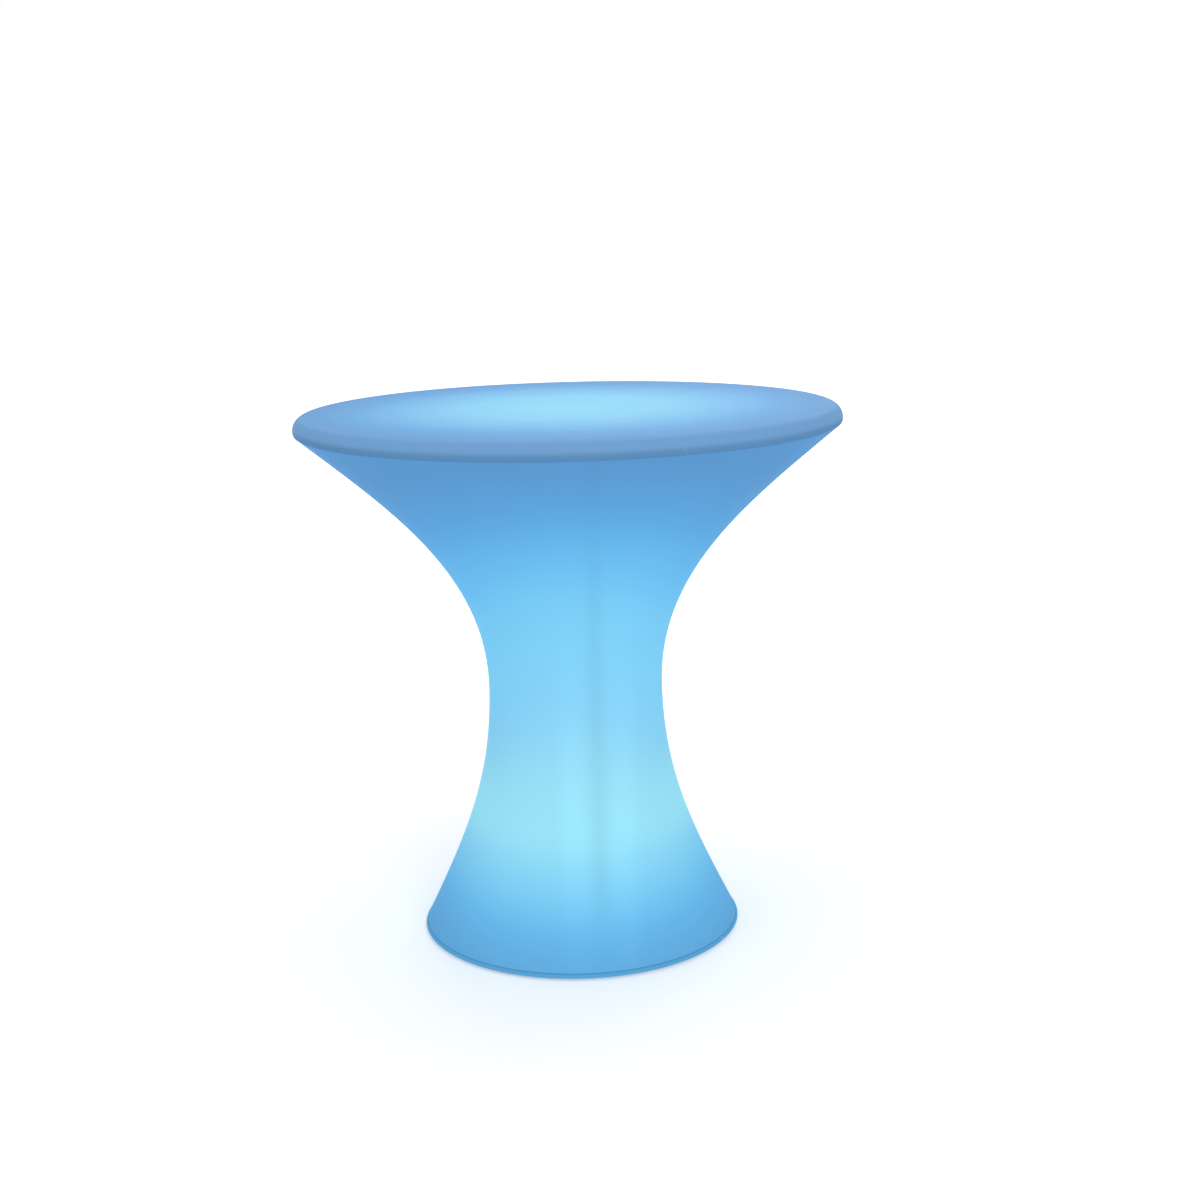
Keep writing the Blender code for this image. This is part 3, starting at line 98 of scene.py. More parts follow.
# Base plate and feet
PLATE_THICK = 0.006
PLATE_PROUD = 0.0035
PLATE_EDGE_ROUND = 0.0012
BASE_FLANGE_WIDTH = 0.038
BASE_FLANGE_THICK = 0.011
HEAD_CLEARANCE = 0.0005
WELL_CHAMFER = 0.0006
COLLAR_WALL = 0.0042
TRAY_BOSS_RADIUS = 0.0048
FOOT_STEM_RADIUS = 0.003
FOOT_SINK = 0.0012
FOOT_TAPER = 0.0012
TREAD_GROOVE_WIDTH = 0.0010
TREAD_GROOVE_DEPTH = 0.0007
TREAD_SHARES = (0.30, 0.52, 0.74)

# Lamp tray and the controls in its hollow
TRAY_CLEARANCE = 0.001
TRAY_FLANGE_WIDTH = 0.015
TRAY_FLANGE_THICK = 0.002
TRAY_WALL = 0.0025
TRAY_LEDGE = 0.0025
TRAY_FLOOR_THICK = 0.0025
HOLLOW_DEPTH = 0.017
PILASTER_RADIUS = 0.004
STANDOFF_RADIUS = 0.0028
STANDOFF_INSET = 0.004
STAKE_RADIUS = 0.0012
STAKE_PROUD = 0.0008
BUTTON_RADIUS = 0.006
BUTTON_LIP = 0.0014
BUTTON_DISH = 0.0007
DISH_SHARES = (0, 0.3, 0.6, 0.8, 1.0)
FINGER_RING_RADIUS = 0.0088
FINGER_RING_WIDTH = 0.0006
SOCKET_RADIUS = 0.0055
SOCKET_BORE_RADIUS = 0.00275
SOCKET_BORE_DEPTH = 0.009
PILOT_RADIUS = 0.0022
CAP_RADIUS = 0.007
CAP_THICK = 0.0018
CAP_ARM = 0.0092
CAP_NECK_WIDTH = 0.007
CAP_PLUG_RADIUS = 0.0021
KNUCKLE_RADIUS = 0.0022
HINGE_PIN_RADIUS = 0.0009
EAR_THICK = 0.002
EAR_FACE = CAP_NECK_WIDTH / 2 + GAP
PLUNGER_RADIUS = 0.0015
SWITCH_CEILING = 0.0007

# Battery
SLEEVE_LIP = 0.0005
CELL_CAP_RADIUS = 0.0035
CELL_CAP_HEIGHT = 0.0012
CELL_END_SHARE = 0.82
CRIMP_DROP_SHARE = 1 / 3
CRIMP_FLANK_SHARE = 0.2
CRIMP_WAIST_SHARE = 0.95
CONTACT_WIDTH = 0.009
CONTACT_THICK = 0.0002
STRAP_THICK = 0.0008

# Control board
BOARD_THICK = 0.0016
BOARD_CORNER = 0.002
CHIP_SIDE = 0.009
CHIP_HEIGHT = 0.0014
CHIP_PIN_COUNT = 8
CHIP_PIN_WIDTH = 0.0004
CHIP_PIN_REACH = 0.0010
COIL_RADIUS = 0.0045
COIL_HEIGHT = 0.005
COIL_TURNS = 7
COIL_CORE_SHARE = 0.8
COIL_WIRE_SHARE = 0.88
CAPACITOR_RADIUS = 0.003
CAPACITOR_HEIGHT = 0.007
CAPACITOR_WAIST_SHARE = 0.9
CAPACITOR_GROOVE_SHARES = (0.12, 0.18, 0.24)
CONNECTOR_LENGTH = 0.008
CONNECTOR_WIDTH = 0.005
CONNECTOR_HEIGHT = 0.0045
CHIP_PLACE_SHARES = (0.0, -0.12)
COIL_PLACE_SHARES = (0.25, 0.14)
CAPACITOR_PLACE_SHARES = (-0.30, -0.28)
CONNECTOR_PLACE_SHARES = ((-0.30, 0.30), (-0.03, 0.34))

# Leads
LEAD_RADIUS = 0.0015
LEAD_STEP = 0.001
LEAD_SLACK = 0.008

# Heat sink, LED board and dome
SINK_THICK = 0.003
FIN_PITCH = 0.014
FIN_THICK = 0.002
FIN_MARGIN = 0.002
LEAD_FIN_COUNT = 2.5
LED_BOARD_THICK = 0.0016
LED_SIDE = 0.005
LED_HEIGHT = 0.0016
LED_LENS_SHARE = 0.4
LED_RING_SHARES = (0.30, 0.78)
LED_RING_COUNTS = (6, 18)
DOME_WALL = 0.002
DOME_FLANGE_THICK = 0.0025
DOME_SCREW_SPACE = 0.0008
RECEIVER_LENS_SHARE = 0.75

# Screws: thread radius, head height, drive in the head, and 1 where the tip points up
SCREWS = {"tabletop_screw": (0.003, 0.0033, "hexagon", 1),
          "base_screw": (0.003, 0.0033, "hexagon", 1),
          "ballast_bolt": (0.003, 0.0033, "hexagon", 1),
          "tray_screw": (0.002, 0.002, "cross", 1),
          "dome_screw": (0.0014, 0.002, "cross", -1)}
HEAD_FLAT_SHARE = 0.7
CROWN_SHARE = 0.75
DRIVE_SHARE = 0.4
DRIVE_DEPTH_SHARE = 0.6
CROSS_WAIST_SHARE = 0.34
CROSS_SHARPNESS = 4
PITCH_SHARE = 0.4
THREAD_DEPTH_SHARE = 0.17
THREAD_ROWS = 6

# Edges and fineness
FINE_EDGE = 0.0003
SOFT_EDGE = 0.0008
EDGE_SIDE_SHARE = 0.45
SMOOTH_ANGLE = math.radians(30)
STRAIGHT_ANGLE = math.radians(4)
ROUND_STEPS = 192
UNIT_STEPS = 128
SMALL_STEPS = 48
CELL_STEPS = 96
SCREW_STEPS = 24
RIM_STEPS = 24
EAR_STEPS = 16
RIM_TUCK_STEPS = 10
RIM_INNER_STEPS = 8
CORNER_STEPS = 6
DOMED_END_STEPS = 6
CROWN_STEPS = 4
EDGE_STEPS = 3
CURVE_POINTS = 48
TOP_RING_SHARES = (0, 0.15, 0.35, 0.55, 0.75, 0.9, 0.97)

# Levels and radii that the frame gives
top_low, top_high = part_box("tabletop")
shell_low, shell_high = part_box("body_shell")
plate_low, plate_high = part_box("base_plate")
tray_low, tray_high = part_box("lamp_tray")
gasket_low, gasket_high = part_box("tray_gasket")
board_low, board_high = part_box("control_board")
sink_low, sink_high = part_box("heat_sink")
TABLE_HEIGHT = top_high.z
TOP_RADIUS = top_high.x
SPIGOT_BOTTOM = top_low.z
TOP_SEAT = SPIGOT_BOTTOM + TOP_FLANGE_THICK
SHELL_BOTTOM = shell_low.z
SHELL_TOP = shell_high.z
LID_BOTTOM = SHELL_TOP + GAP
MOUTH_RADIUS = shell_high.x
TOP_FLANGE_RADIUS = MOUTH_RADIUS - TOP_FLANGE_WIDTH
PLATE_RADIUS = plate_high.x
PLATE_BOTTOM = plate_low.z
PLATE_TOP = PLATE_BOTTOM + PLATE_THICK
COLLAR_TOP = plate_high.z
FOOT_RADIUS = PLATE_RADIUS - PLATE_PROUD
BASE_FLANGE_RADIUS = FOOT_RADIUS - BASE_FLANGE_WIDTH
TRAY_FLANGE_RADIUS = tray_high.x
PLATE_OPENING = TRAY_FLANGE_RADIUS - TRAY_FLANGE_WIDTH
TRAY_OUTER = PLATE_OPENING - TRAY_CLEARANCE
TRAY_BOTTOM = tray_low.z
FLOOR_BOTTOM = TRAY_BOTTOM + HOLLOW_DEPTH
FLOOR_TOP = FLOOR_BOTTOM + TRAY_FLOOR_THICK
SINK_BOTTOM = sink_high.z - SINK_THICK
LEDGE_TOP = SINK_BOTTOM - GAP
BOARD_BOTTOM = board_low.z
BOARD_TOP = BOARD_BOTTOM + BOARD_THICK


# Camera

CAMERA_DISTANCE = 2.4908
CAMERA_HEIGHT = 1.0331
CAMERA_YAW = math.radians(0.8816)
CAMERA_PITCH = math.radians(12.4786)
CAMERA_ROLL = math.radians(-1.452)
LENS = 53.39
SENSOR = 36.0


def make_camera():
    """The camera at the photograph's viewing angle."""
    camera_data = bpy.data.cameras.new("camera")
    camera_data.lens = LENS
    camera_data.sensor_width = SENSOR
    camera = bpy.data.objects.new("camera", camera_data)
    camera.matrix_world = (Matrix.Translation((0, -CAMERA_DISTANCE, CAMERA_HEIGHT))
                           @ Matrix.Rotation(-CAMERA_YAW, 4, 'Z')
                           @ Matrix.Rotation(math.pi / 2 - CAMERA_PITCH, 4, 'X')
                           @ Matrix.Rotation(CAMERA_ROLL, 4, 'Z'))
    bpy.context.scene.collection.objects.link(camera)
    bpy.context.scene.camera = camera


# Shader node helpers

def linear(colour):
    """Linear light of an sRGB colour in 0 to 255."""
    shares = [value / 255 for value in colour]
    return tuple(s / 12.92 if s <= 0.04045 else ((s + 0.055) / 1.055) ** 2.4 for s in shares)


def add_node(tree, kind, inputs=(), **settings):
    """A shader node of some kind with its settings, and its inputs by name or number."""
    node = tree.nodes.new(kind)
    for name, value in settings.items():
        setattr(node, name, value)
    feed_all(tree, node, inputs)
    return node


def feed(tree, socket, value):
    """Link a socket, or set a number, colour or vector, on an input."""
    if isinstance(value, bpy.types.NodeSocket):
        tree.links.new(value, socket)
    elif isinstance(value, tuple) and len(value) == 3 and socket.type == 'RGBA':
        socket.default_value = (*value, 1.0)
    else:
        socket.default_value = value


def feed_all(tree, node, values):
    """Feed several inputs of a node."""
    for name, value in dict(values).items():
        feed(tree, node.inputs[name], value)


def calculate(tree, operation, *values, clamp=False):
    """A Math node on sockets or numbers; returns its output."""
    return add_node(tree, "ShaderNodeMath", enumerate(values), operation=operation,
                    use_clamp=clamp).outputs[0]


def product(tree, *values):
    """All values multiplied."""
    result = values[0]
    for value in values[1:]:
        result = calculate(tree, 'MULTIPLY', result, value)
    return result


def smooth_step(tree, value, low, high, start=0.0, end=1.0):
    """A soft change from start to end while the value goes from low to high."""
    return add_node(tree, "ShaderNodeMapRange",
                    {"Value": value, "From Min": low, "From Max": high, "To Min": start,
                     "To Max": end}, interpolation_type='SMOOTHSTEP').outputs["Result"]


def hump(tree, value, centre, width):
    """A soft hump of height 1 round a value."""
    away = calculate(tree, 'ABSOLUTE', calculate(tree, 'SUBTRACT', value, centre))
    return smooth_step(tree, away, 0.0, width, 1.0, 0.0)


def mix_colours(tree, factor, first, second):
    """A colour between two others; returns the Mix node's output."""
    return add_node(tree, "ShaderNodeMix", {0: factor, 6: first, 7: second},
                    data_type='RGBA').outputs[2]


def scale_colour(tree, colour, factor):
    """A colour made lighter or darker."""
    return add_node(tree, "ShaderNodeVectorMath", {0: colour, "Scale": factor},
                    operation='SCALE').outputs[0]


def stretched(tree, vector, scale, turn=(0.0, 0.0, 0.0)):
    """A vector scaled along its axes, so that noise on it runs in streaks."""
    return add_node(tree, "ShaderNodeMapping",
                    {"Vector": vector, "Scale": scale, "Rotation": turn}).outputs["Vector"]


def snapped(tree, vector, steps):
    """A vector that stays the same over each block of some size."""
    return add_node(tree, "ShaderNodeVectorMath", {0: vector, 1: steps},
                    operation='SNAP').outputs[0]


def split(tree, vector):
    """The X, Y and Z of a vector."""
    return add_node(tree, "ShaderNodeSeparateXYZ", {0: vector}).outputs


def noise(tree, vector, scale, detail=2.0):
    """Noise on a vector; returns its value, from 0 to 1."""
    return add_node(tree, "ShaderNodeTexNoise",
                    {"Vector": vector, "Scale": scale, "Detail": detail}).outputs["Fac"]


def waves(tree, vector, scale, direction):
    """Even ridges along one axis; returns their height, from 0 to 1."""
    return add_node(tree, "ShaderNodeTexWave", {"Vector": vector, "Scale": scale},
                    bands_direction=direction).outputs["Fac"]


def swing(tree, value, amount):
    """A value from 0 to 1 turned into a small swing about 0."""
    return calculate(tree, 'MULTIPLY', calculate(tree, 'SUBTRACT', value, 0.5), amount)


def bump(tree, height, distance, strength=1.0, base=None):
    """A Bump node, over another normal if one is given; returns its normal."""
    node = add_node(tree, "ShaderNodeBump",
                    {"Strength": strength, "Distance": distance, "Height": height})
    if base is not None:
        feed(tree, node.inputs["Normal"], base)
    return node.outputs["Normal"]


def ramp(tree, value, stops):
    """A smooth colour ramp through (position, sRGB colour) stops."""
    node = add_node(tree, "ShaderNodeValToRGB", {"Fac": value})
    node.color_ramp.interpolation = 'CARDINAL'
    elements = node.color_ramp.elements
    elements.remove(elements[-1])
    for index, (position, colour) in enumerate(stops):
        element = elements[0] if index == 0 else elements.new(position)
        element.position = position
        element.color = (*linear(colour), 1.0)
    return node.outputs["Color"]


def object_place(tree):
    """The place on the piece, in its own coordinates."""
    return add_node(tree, "ShaderNodeTexCoord").outputs["Object"]


def new_group(name, inputs, outputs):
    """An empty shader group with its sockets; returns it with the values that enter it."""
    group = bpy.data.node_groups.new(name, "ShaderNodeTree")
    for label, value in inputs.items():
        kind = "NodeSocketFloat" if isinstance(value, float) else "NodeSocketColor"
        socket = group.interface.new_socket(label, in_out='INPUT', socket_type=kind)
        socket.default_value = value
    for label, kind in outputs.items():
        group.interface.new_socket(label, in_out='OUTPUT', socket_type="NodeSocket" + kind)
    group.nodes.new("NodeGroupOutput")
    return group, group.nodes.new("NodeGroupInput").outputs


def close_group(group, values):
    """Feed the values that leave a group; returns the group."""
    feed_all(group, group.nodes["Group Output"], values)
    return group


def place_group(tree, group, values=()):
    """A group placed in a material with its own values; returns its outputs."""
    return add_node(tree, "ShaderNodeGroup", values, node_tree=group).outputs


# Effects that several finishes use

# Waviness of a moulded skin, its scratches, and the patches where they lie
WAVE_SCALE = 28.0
WAVE_ROUGHNESS = 0.12
SCRATCH_STRETCH = (9.0, 160.0, 60.0)
SCRATCH_TURN = (0.2, 0.3, 0.7)
SCRATCH_EDGE = (0.66, 0.74)
PATCH_SCALE = 6.0
PATCH_EDGE = (0.48, 0.68)
SCUFF_ROUGHNESS = 0.25

# Colours of scuffed plastic, and the slow part of the tone variation
SCUFFED_LIT = (150, 190, 214)
SCUFFED_PLAIN = (190, 190, 188)
TONE_SCALE = 12.0


def moulded_skin_group():
    """Orange peel, slow waviness and faint scuffs of a moulded skin."""
    group, given = new_group(
        "moulded skin",
        {"Peel Scale": 420.0, "Peel Height": 0.00010, "Wave Height": 0.0004,
         "Roughness": 0.42, "Scuffs": 0.3},
        {"Roughness": "Float", "Normal": "Vector", "Scuff Mask": "Float"})
    where = object_place(group)
    wave = noise(group, where, WAVE_SCALE, detail=1.0)
    peel = noise(group, where, given["Peel Scale"], detail=1.5)
    streaks = stretched(group, where, SCRATCH_STRETCH, SCRATCH_TURN)
    scratch = smooth_step(group, noise(group, streaks, 1.0, detail=3.0), *SCRATCH_EDGE)
    patches = smooth_step(group, noise(group, where, PATCH_SCALE), *PATCH_EDGE)
    scuff = product(group, scratch, patches, given["Scuffs"])
    rough = calculate(group, 'ADD', given["Roughness"], swing(group, wave, WAVE_ROUGHNESS))
    rough = calculate(group, 'MULTIPLY_ADD', scuff, SCUFF_ROUGHNESS, rough, clamp=True)
    slow = bump(group, wave, given["Wave Height"], strength=0.6)
    fine = bump(group, peel, given["Peel Height"], strength=0.8, base=slow)
    return close_group(group, {"Normal": fine, "Roughness": rough, "Scuff Mask": scuff})


def tone_group():
    """A colour with slow and fine variation."""
    group, given = new_group(
        "tone variation",
        {"Colour": (0.5, 0.5, 0.5, 1.0), "Grain Scale": 60.0, "Amount": 0.1},
        {"Colour": "Color"})
    where = object_place(group)
    grain = noise(group, where, given["Grain Scale"], detail=4.0)
    both = calculate(group, 'ADD', grain, noise(group, where, TONE_SCALE))
    change = calculate(group, 'MULTIPLY', calculate(group, 'SUBTRACT', both, 1.0),
                       given["Amount"])
    shade = calculate(group, 'ADD', change, 1.0)
    return close_group(group, {"Colour": scale_colour(group, given["Colour"], shade)})


# Grain of plated or machined metal
METAL_GRAIN_HEIGHT = 0.00005
METAL_GRAIN_ROUGHNESS = 0.2

# Woven strap: its ribs, weft and fibre, and their colours
RIB_SCALE = 260.0
WEFT_SCALE = 420.0
FIBRE_SCALE = 2600.0
FIBRE_SHARE = 0.4
FIBRE_HEIGHT = 0.0002
STRAP_DARK = (24, 24, 27)
STRAP_PALE = (78, 78, 84)

# Printed tracks and pads of the boards; the bundle's value chooses the axis
TRACK_PITCH = 0.0013
TRACK_WIDTH = 0.0005
TRACK_HEIGHT = 0.00004
TRACK_BLOCK = (0.0104, 0.0078, 1.0)
TRACK_CHOICES = (("X", 0.50, 0.51), ("Y", 0.46, 0.45))
BUNDLE_SCALE = 70.0
PAD_SCALE = 240.0
PAD_EDGE = (0.10, 0.12)
TINNED = (198, 196, 184)

# What the lamp's light does to the plastic
PLASTIC_SHARE = 0.5
GLOW_SHARE = 0.62
MOTTLE = 0.04
MOTTLE_SCALE = 7.0
RIM_BLEND = 0.0015

# Colour of the lit body, by the share of its height
BODY_LIGHT_SHARES = (
    (0.00, (98, 170, 221)), (0.10, (114, 194, 240)), (0.20, (145, 221, 248)),
    (0.28, (155, 229, 248)), (0.46, (142, 216, 249)), (0.72, (126, 211, 255)),
    (0.86, (106, 186, 244)), (1.00, (99, 163, 220)))
# Colour of the lit top, by the share of its radius
FACE_LIGHT_SHARES = (
    (0.00, (141, 206, 231)), (0.25, (137, 202, 232)), (0.42, (133, 195, 229)),
    (0.70, (115, 173, 219)), (0.88, (106, 158, 206)), (0.96, (110, 155, 201)))
# Colour of the lit rim, by the share of its depth
RIM_LIGHT_SHARES = (
    (0.00, (114, 162, 207)), (0.12, (107, 154, 200)), (0.28, (110, 155, 200)),
    (0.52, (110, 156, 201)), (0.68, (98, 145, 189)), (0.84, (93, 141, 187)),
    (1.00, (93, 147, 198)))
# Colour of the lit base plate, by the share of its radius; the ballast dims its middle
PLATE_LIGHT_SHARES = (
    (0.34, (100, 156, 198)), (0.46, (62, 106, 142)), (0.78, (62, 106, 142)),
    (0.86, (80, 138, 182)), (0.984, (72, 136, 182)), (0.990, (86, 160, 209)),
    (1.00, (89, 165, 213)))
# Colour of the lit dome, by the share of its height
DOME_LIGHT_SHARES = ((0.00, (120, 190, 235)), (0.50, (170, 228, 250)), (1.00, (214, 244, 255)))

# Painted shadow: a soft dark upright band on the front and the back, with painted lit strips
# beside it
SHADE_BAND_PLACE = 0.027
SHADE_BAND_WIDTH = 0.019
SHADE_BAND_DEPTH = 0.065
SHADE_BAND_FOOT = (0.04, 0.14)
SHADE_BAND_FADE = (0.50, 0.66)
SHADE_BAND_TOP_SHARE = 0.2
STRIP_DISTANCE = 0.036
STRIP_WIDTH = 0.03
STRIP_HEIGHT = 0.185
STRIP_REACH = 0.42
STRIP_GAIN = 0.05
# The brightest light reaches less far up and down at the sides
SHIFT_START = 0.12
SHIFT_END = 0.34
LOWER_SHIFT = -0.026
UPPER_SHIFT = 0.105


def light_group(name):
    """An empty group for lit plastic; returns it with the place and a soft mottle."""
    group = new_group(name, {}, {"Lamp Lit Base Colour": "Color", "Glow Colour": "Color"})[0]
    where = object_place(group)
    cloud = swing(group, noise(group, where, MOTTLE_SCALE), MOTTLE)
    return group, split(group, where), calculate(group, 'ADD', cloud, 1.0)


def close_light(group, colour, shade):
    """Split the colour that shows, with the lamp's light and shade painted into it, into a base
    colour and a glow.
    """
    shown = scale_colour(group, colour, shade)
    return close_group(group, {"Lamp Lit Base Colour": scale_colour(group, shown, PLASTIC_SHARE),
                               "Glow Colour": scale_colour(group, shown, GLOW_SHARE)})


def radius_of(group, place):
    """Distance from the table's axis."""
    squares = calculate(group, 'ADD', calculate(group, 'POWER', place["X"], 2.0),
                        calculate(group, 'POWER', place["Y"], 2.0))
    return calculate(group, 'SQRT', squares)


def body_light_group():
    """Light through the body, by height, with a painted soft shadow in an upright band and
    painted lit strips beside it.
    """
    group, place, shade = light_group("lamp light through the body")
    height = place["Z"]
    sideways = calculate(group, 'DIVIDE', place["X"], radius_of(group, place))
    shift = product(group, sideways, sideways,
                    smooth_step(group, height, SHIFT_START, SHIFT_END, LOWER_SHIFT, UPPER_SHIFT))
    share = calculate(group, 'ADD', calculate(group, 'DIVIDE', height, SHELL_TOP), shift)
    colour = ramp(group, share, BODY_LIGHT_SHARES)
    across = product(group, place["X"], calculate(group, 'SIGN', place["Y"]), -1.0)
    # Painted shadow: the glow is darkened in a soft upright band, and lightened in painted strips
    # beside it
    band_shade = product(group, hump(group, across, SHADE_BAND_PLACE, SHADE_BAND_WIDTH),
                   smooth_step(group, height, *SHADE_BAND_FOOT),
                   smooth_step(group, height, *SHADE_BAND_FADE, 1.0, SHADE_BAND_TOP_SHARE), SHADE_BAND_DEPTH)
    from_shade_band = calculate(group, 'ABSOLUTE', calculate(group, 'SUBTRACT', across, SHADE_BAND_PLACE))
    strips = product(group, hump(group, from_shade_band, STRIP_DISTANCE, STRIP_WIDTH),
                     hump(group, height, STRIP_HEIGHT, STRIP_REACH), STRIP_GAIN)
    shade = calculate(group, 'ADD', calculate(group, 'SUBTRACT', shade, band_shade), strips)
    return close_light(group, colour, shade)


def top_light_group():
    """Light through the top: brightest in the middle, dimmer down the rim."""
    group, place, shade = light_group("lamp light through the top")
    share = calculate(group, 'DIVIDE', radius_of(group, place), TOP_RADIUS)
    drop = calculate(group, 'SUBTRACT', TABLE_HEIGHT, place["Z"])
    depth = calculate(group, 'DIVIDE', drop, TABLE_HEIGHT - LID_BOTTOM)
    colour = mix_colours(group, smooth_step(group, drop, 0.0, RIM_BLEND),
                         ramp(group, share, FACE_LIGHT_SHARES),
                         ramp(group, depth, RIM_LIGHT_SHARES))
    return close_light(group, colour, shade)


def plate_light_group():
    """Light through the base plate: round its edge and in the middle, dim under the ballast."""
    group, place, shade = light_group("lamp light through the plate")
    share = calculate(group, 'DIVIDE', radius_of(group, place), PLATE_RADIUS)
    return close_light(group, ramp(group, share, PLATE_LIGHT_SHARES), shade)


def dome_light_group():
    """Light through the frosted dome, brighter towards its crown."""
    group, place, shade = light_group("lamp light through the dome")
    share = smooth_step(group, place["Z"], *levels("diffuser_dome"))
    return close_light(group, ramp(group, share, DOME_LIGHT_SHARES), shade)


SKIN = moulded_skin_group()
TONE = tone_group()


# Finishes

def new_finish(name):
    """An empty material; returns it with its tree and its Principled shader."""
    material = bpy.data.materials.new(name)
    material.use_nodes = True
    return material, material.node_tree, material.node_tree.nodes["Principled BSDF"]


def put_on_skin(tree, shader, colour, scuffed, values):
    """A moulded skin on a shader: roughness, normal, and a colour with scuffs."""
    skin = place_group(tree, SKIN, values)
    worn = mix_colours(tree, skin["Scuff Mask"], colour, linear(scuffed))
    feed_all(tree, shader, {"Base Color": worn, "Roughness": skin["Roughness"],
                            "Normal": skin["Normal"]})


def toned(tree, colour, grain_scale, amount):
    """An sRGB colour with slow and fine variation."""
    return place_group(tree, TONE, {"Colour": linear(colour), "Grain Scale": grain_scale,
                                    "Amount": amount})["Colour"]


def lit_plastic(tree, shader, light, peel, scuffs, roughness, gloss):
    """Translucent plastic that shows the lamp's light, with a low satin gloss."""
    lamp = place_group(tree, light())
    # The base colour carries the painted lamp light and shade, as the glow does
    put_on_skin(tree, shader, lamp["Lamp Lit Base Colour"], SCUFFED_LIT,
                {"Peel Height": peel, "Scuffs": scuffs, "Roughness": roughness})
    feed_all(tree, shader, {"Emission Color": lamp["Glow Colour"], "Emission Strength": 1.0,
                            "Specular IOR Level": gloss})


def moulded_plastic(tree, shader, colour, roughness, peel_scale):
    """Opaque moulded plastic or rubber with a fine texture and pale scuffs."""
    put_on_skin(tree, shader, toned(tree, colour, grain_scale=90.0, amount=0.12), SCUFFED_PLAIN,
                {"Peel Scale": peel_scale, "Peel Height": 0.00006, "Wave Height": 0.0001,
                 "Scuffs": 0.5, "Roughness": roughness})


def metal(tree, shader, colour, roughness, grain):
    """Plated or machined metal with fine grain along it."""
    lines = noise(tree, stretched(tree, object_place(tree), grain), 1.0, detail=4.0)
    feed_all(tree, shader, {
        "Base Color": toned(tree, colour, grain_scale=400.0, amount=0.18), "Metallic": 1.0,
        "Roughness": calculate(tree, 'ADD', swing(tree, lines, METAL_GRAIN_ROUGHNESS), roughness),
        "Normal": bump(tree, lines, METAL_GRAIN_HEIGHT, strength=0.3)})


def webbing(tree, shader):
    """Woven strap: ribs across it with the weft showing between them."""
    where = object_place(tree)
    weave = product(tree, waves(tree, where, RIB_SCALE, 'X'), waves(tree, where, WEFT_SCALE, 'Y'))
    fibre = calculate(tree, 'MULTIPLY_ADD', noise(tree, where, FIBRE_SCALE), FIBRE_SHARE, weave)
    feed_all(tree, shader, {
        "Base Color": mix_colours(tree, fibre, linear(STRAP_DARK), linear(STRAP_PALE)),
        "Roughness": smooth_step(tree, fibre, 0.0, 1.0 + FIBRE_SHARE, 0.95, 0.75),
        "Normal": bump(tree, fibre, FIBRE_HEIGHT)})


def printed_board(tree, shader, mask, track):
    """Solder mask over raised tracks in bundles along and across, with round tinned pads."""
    where = object_place(tree)
    place = split(tree, where)
    bundle = noise(tree, snapped(tree, where, TRACK_BLOCK), BUNDLE_SCALE, detail=0.0)
    tracks = 0.0
    for axis, low, high in TRACK_CHOICES:
        away = calculate(tree, 'PINGPONG', place[axis], TRACK_PITCH / 2)
        line = smooth_step(tree, away, TRACK_WIDTH * 0.4, TRACK_WIDTH * 0.6, 1.0, 0.0)
        chosen = product(tree, line, smooth_step(tree, bundle, low, high))
        tracks = calculate(tree, 'ADD', tracks, chosen)
    dots = add_node(tree, "ShaderNodeTexVoronoi", {"Vector": where, "Scale": PAD_SCALE})
    pads = smooth_step(tree, dots.outputs["Distance"], *PAD_EDGE, 1.0, 0.0)
    plain = toned(tree, mask, grain_scale=300.0, amount=0.08)
    lined = mix_colours(tree, tracks, plain, linear(track))
    feed_all(tree, shader, {
        "Base Color": mix_colours(tree, pads, lined, linear(TINNED)), "Metallic": pads,
        "Roughness": smooth_step(tree, tracks, 0.0, 1.0, 0.38, 0.3),
        "Normal": bump(tree, calculate(tree, 'MAXIMUM', tracks, pads), TRACK_HEIGHT)})


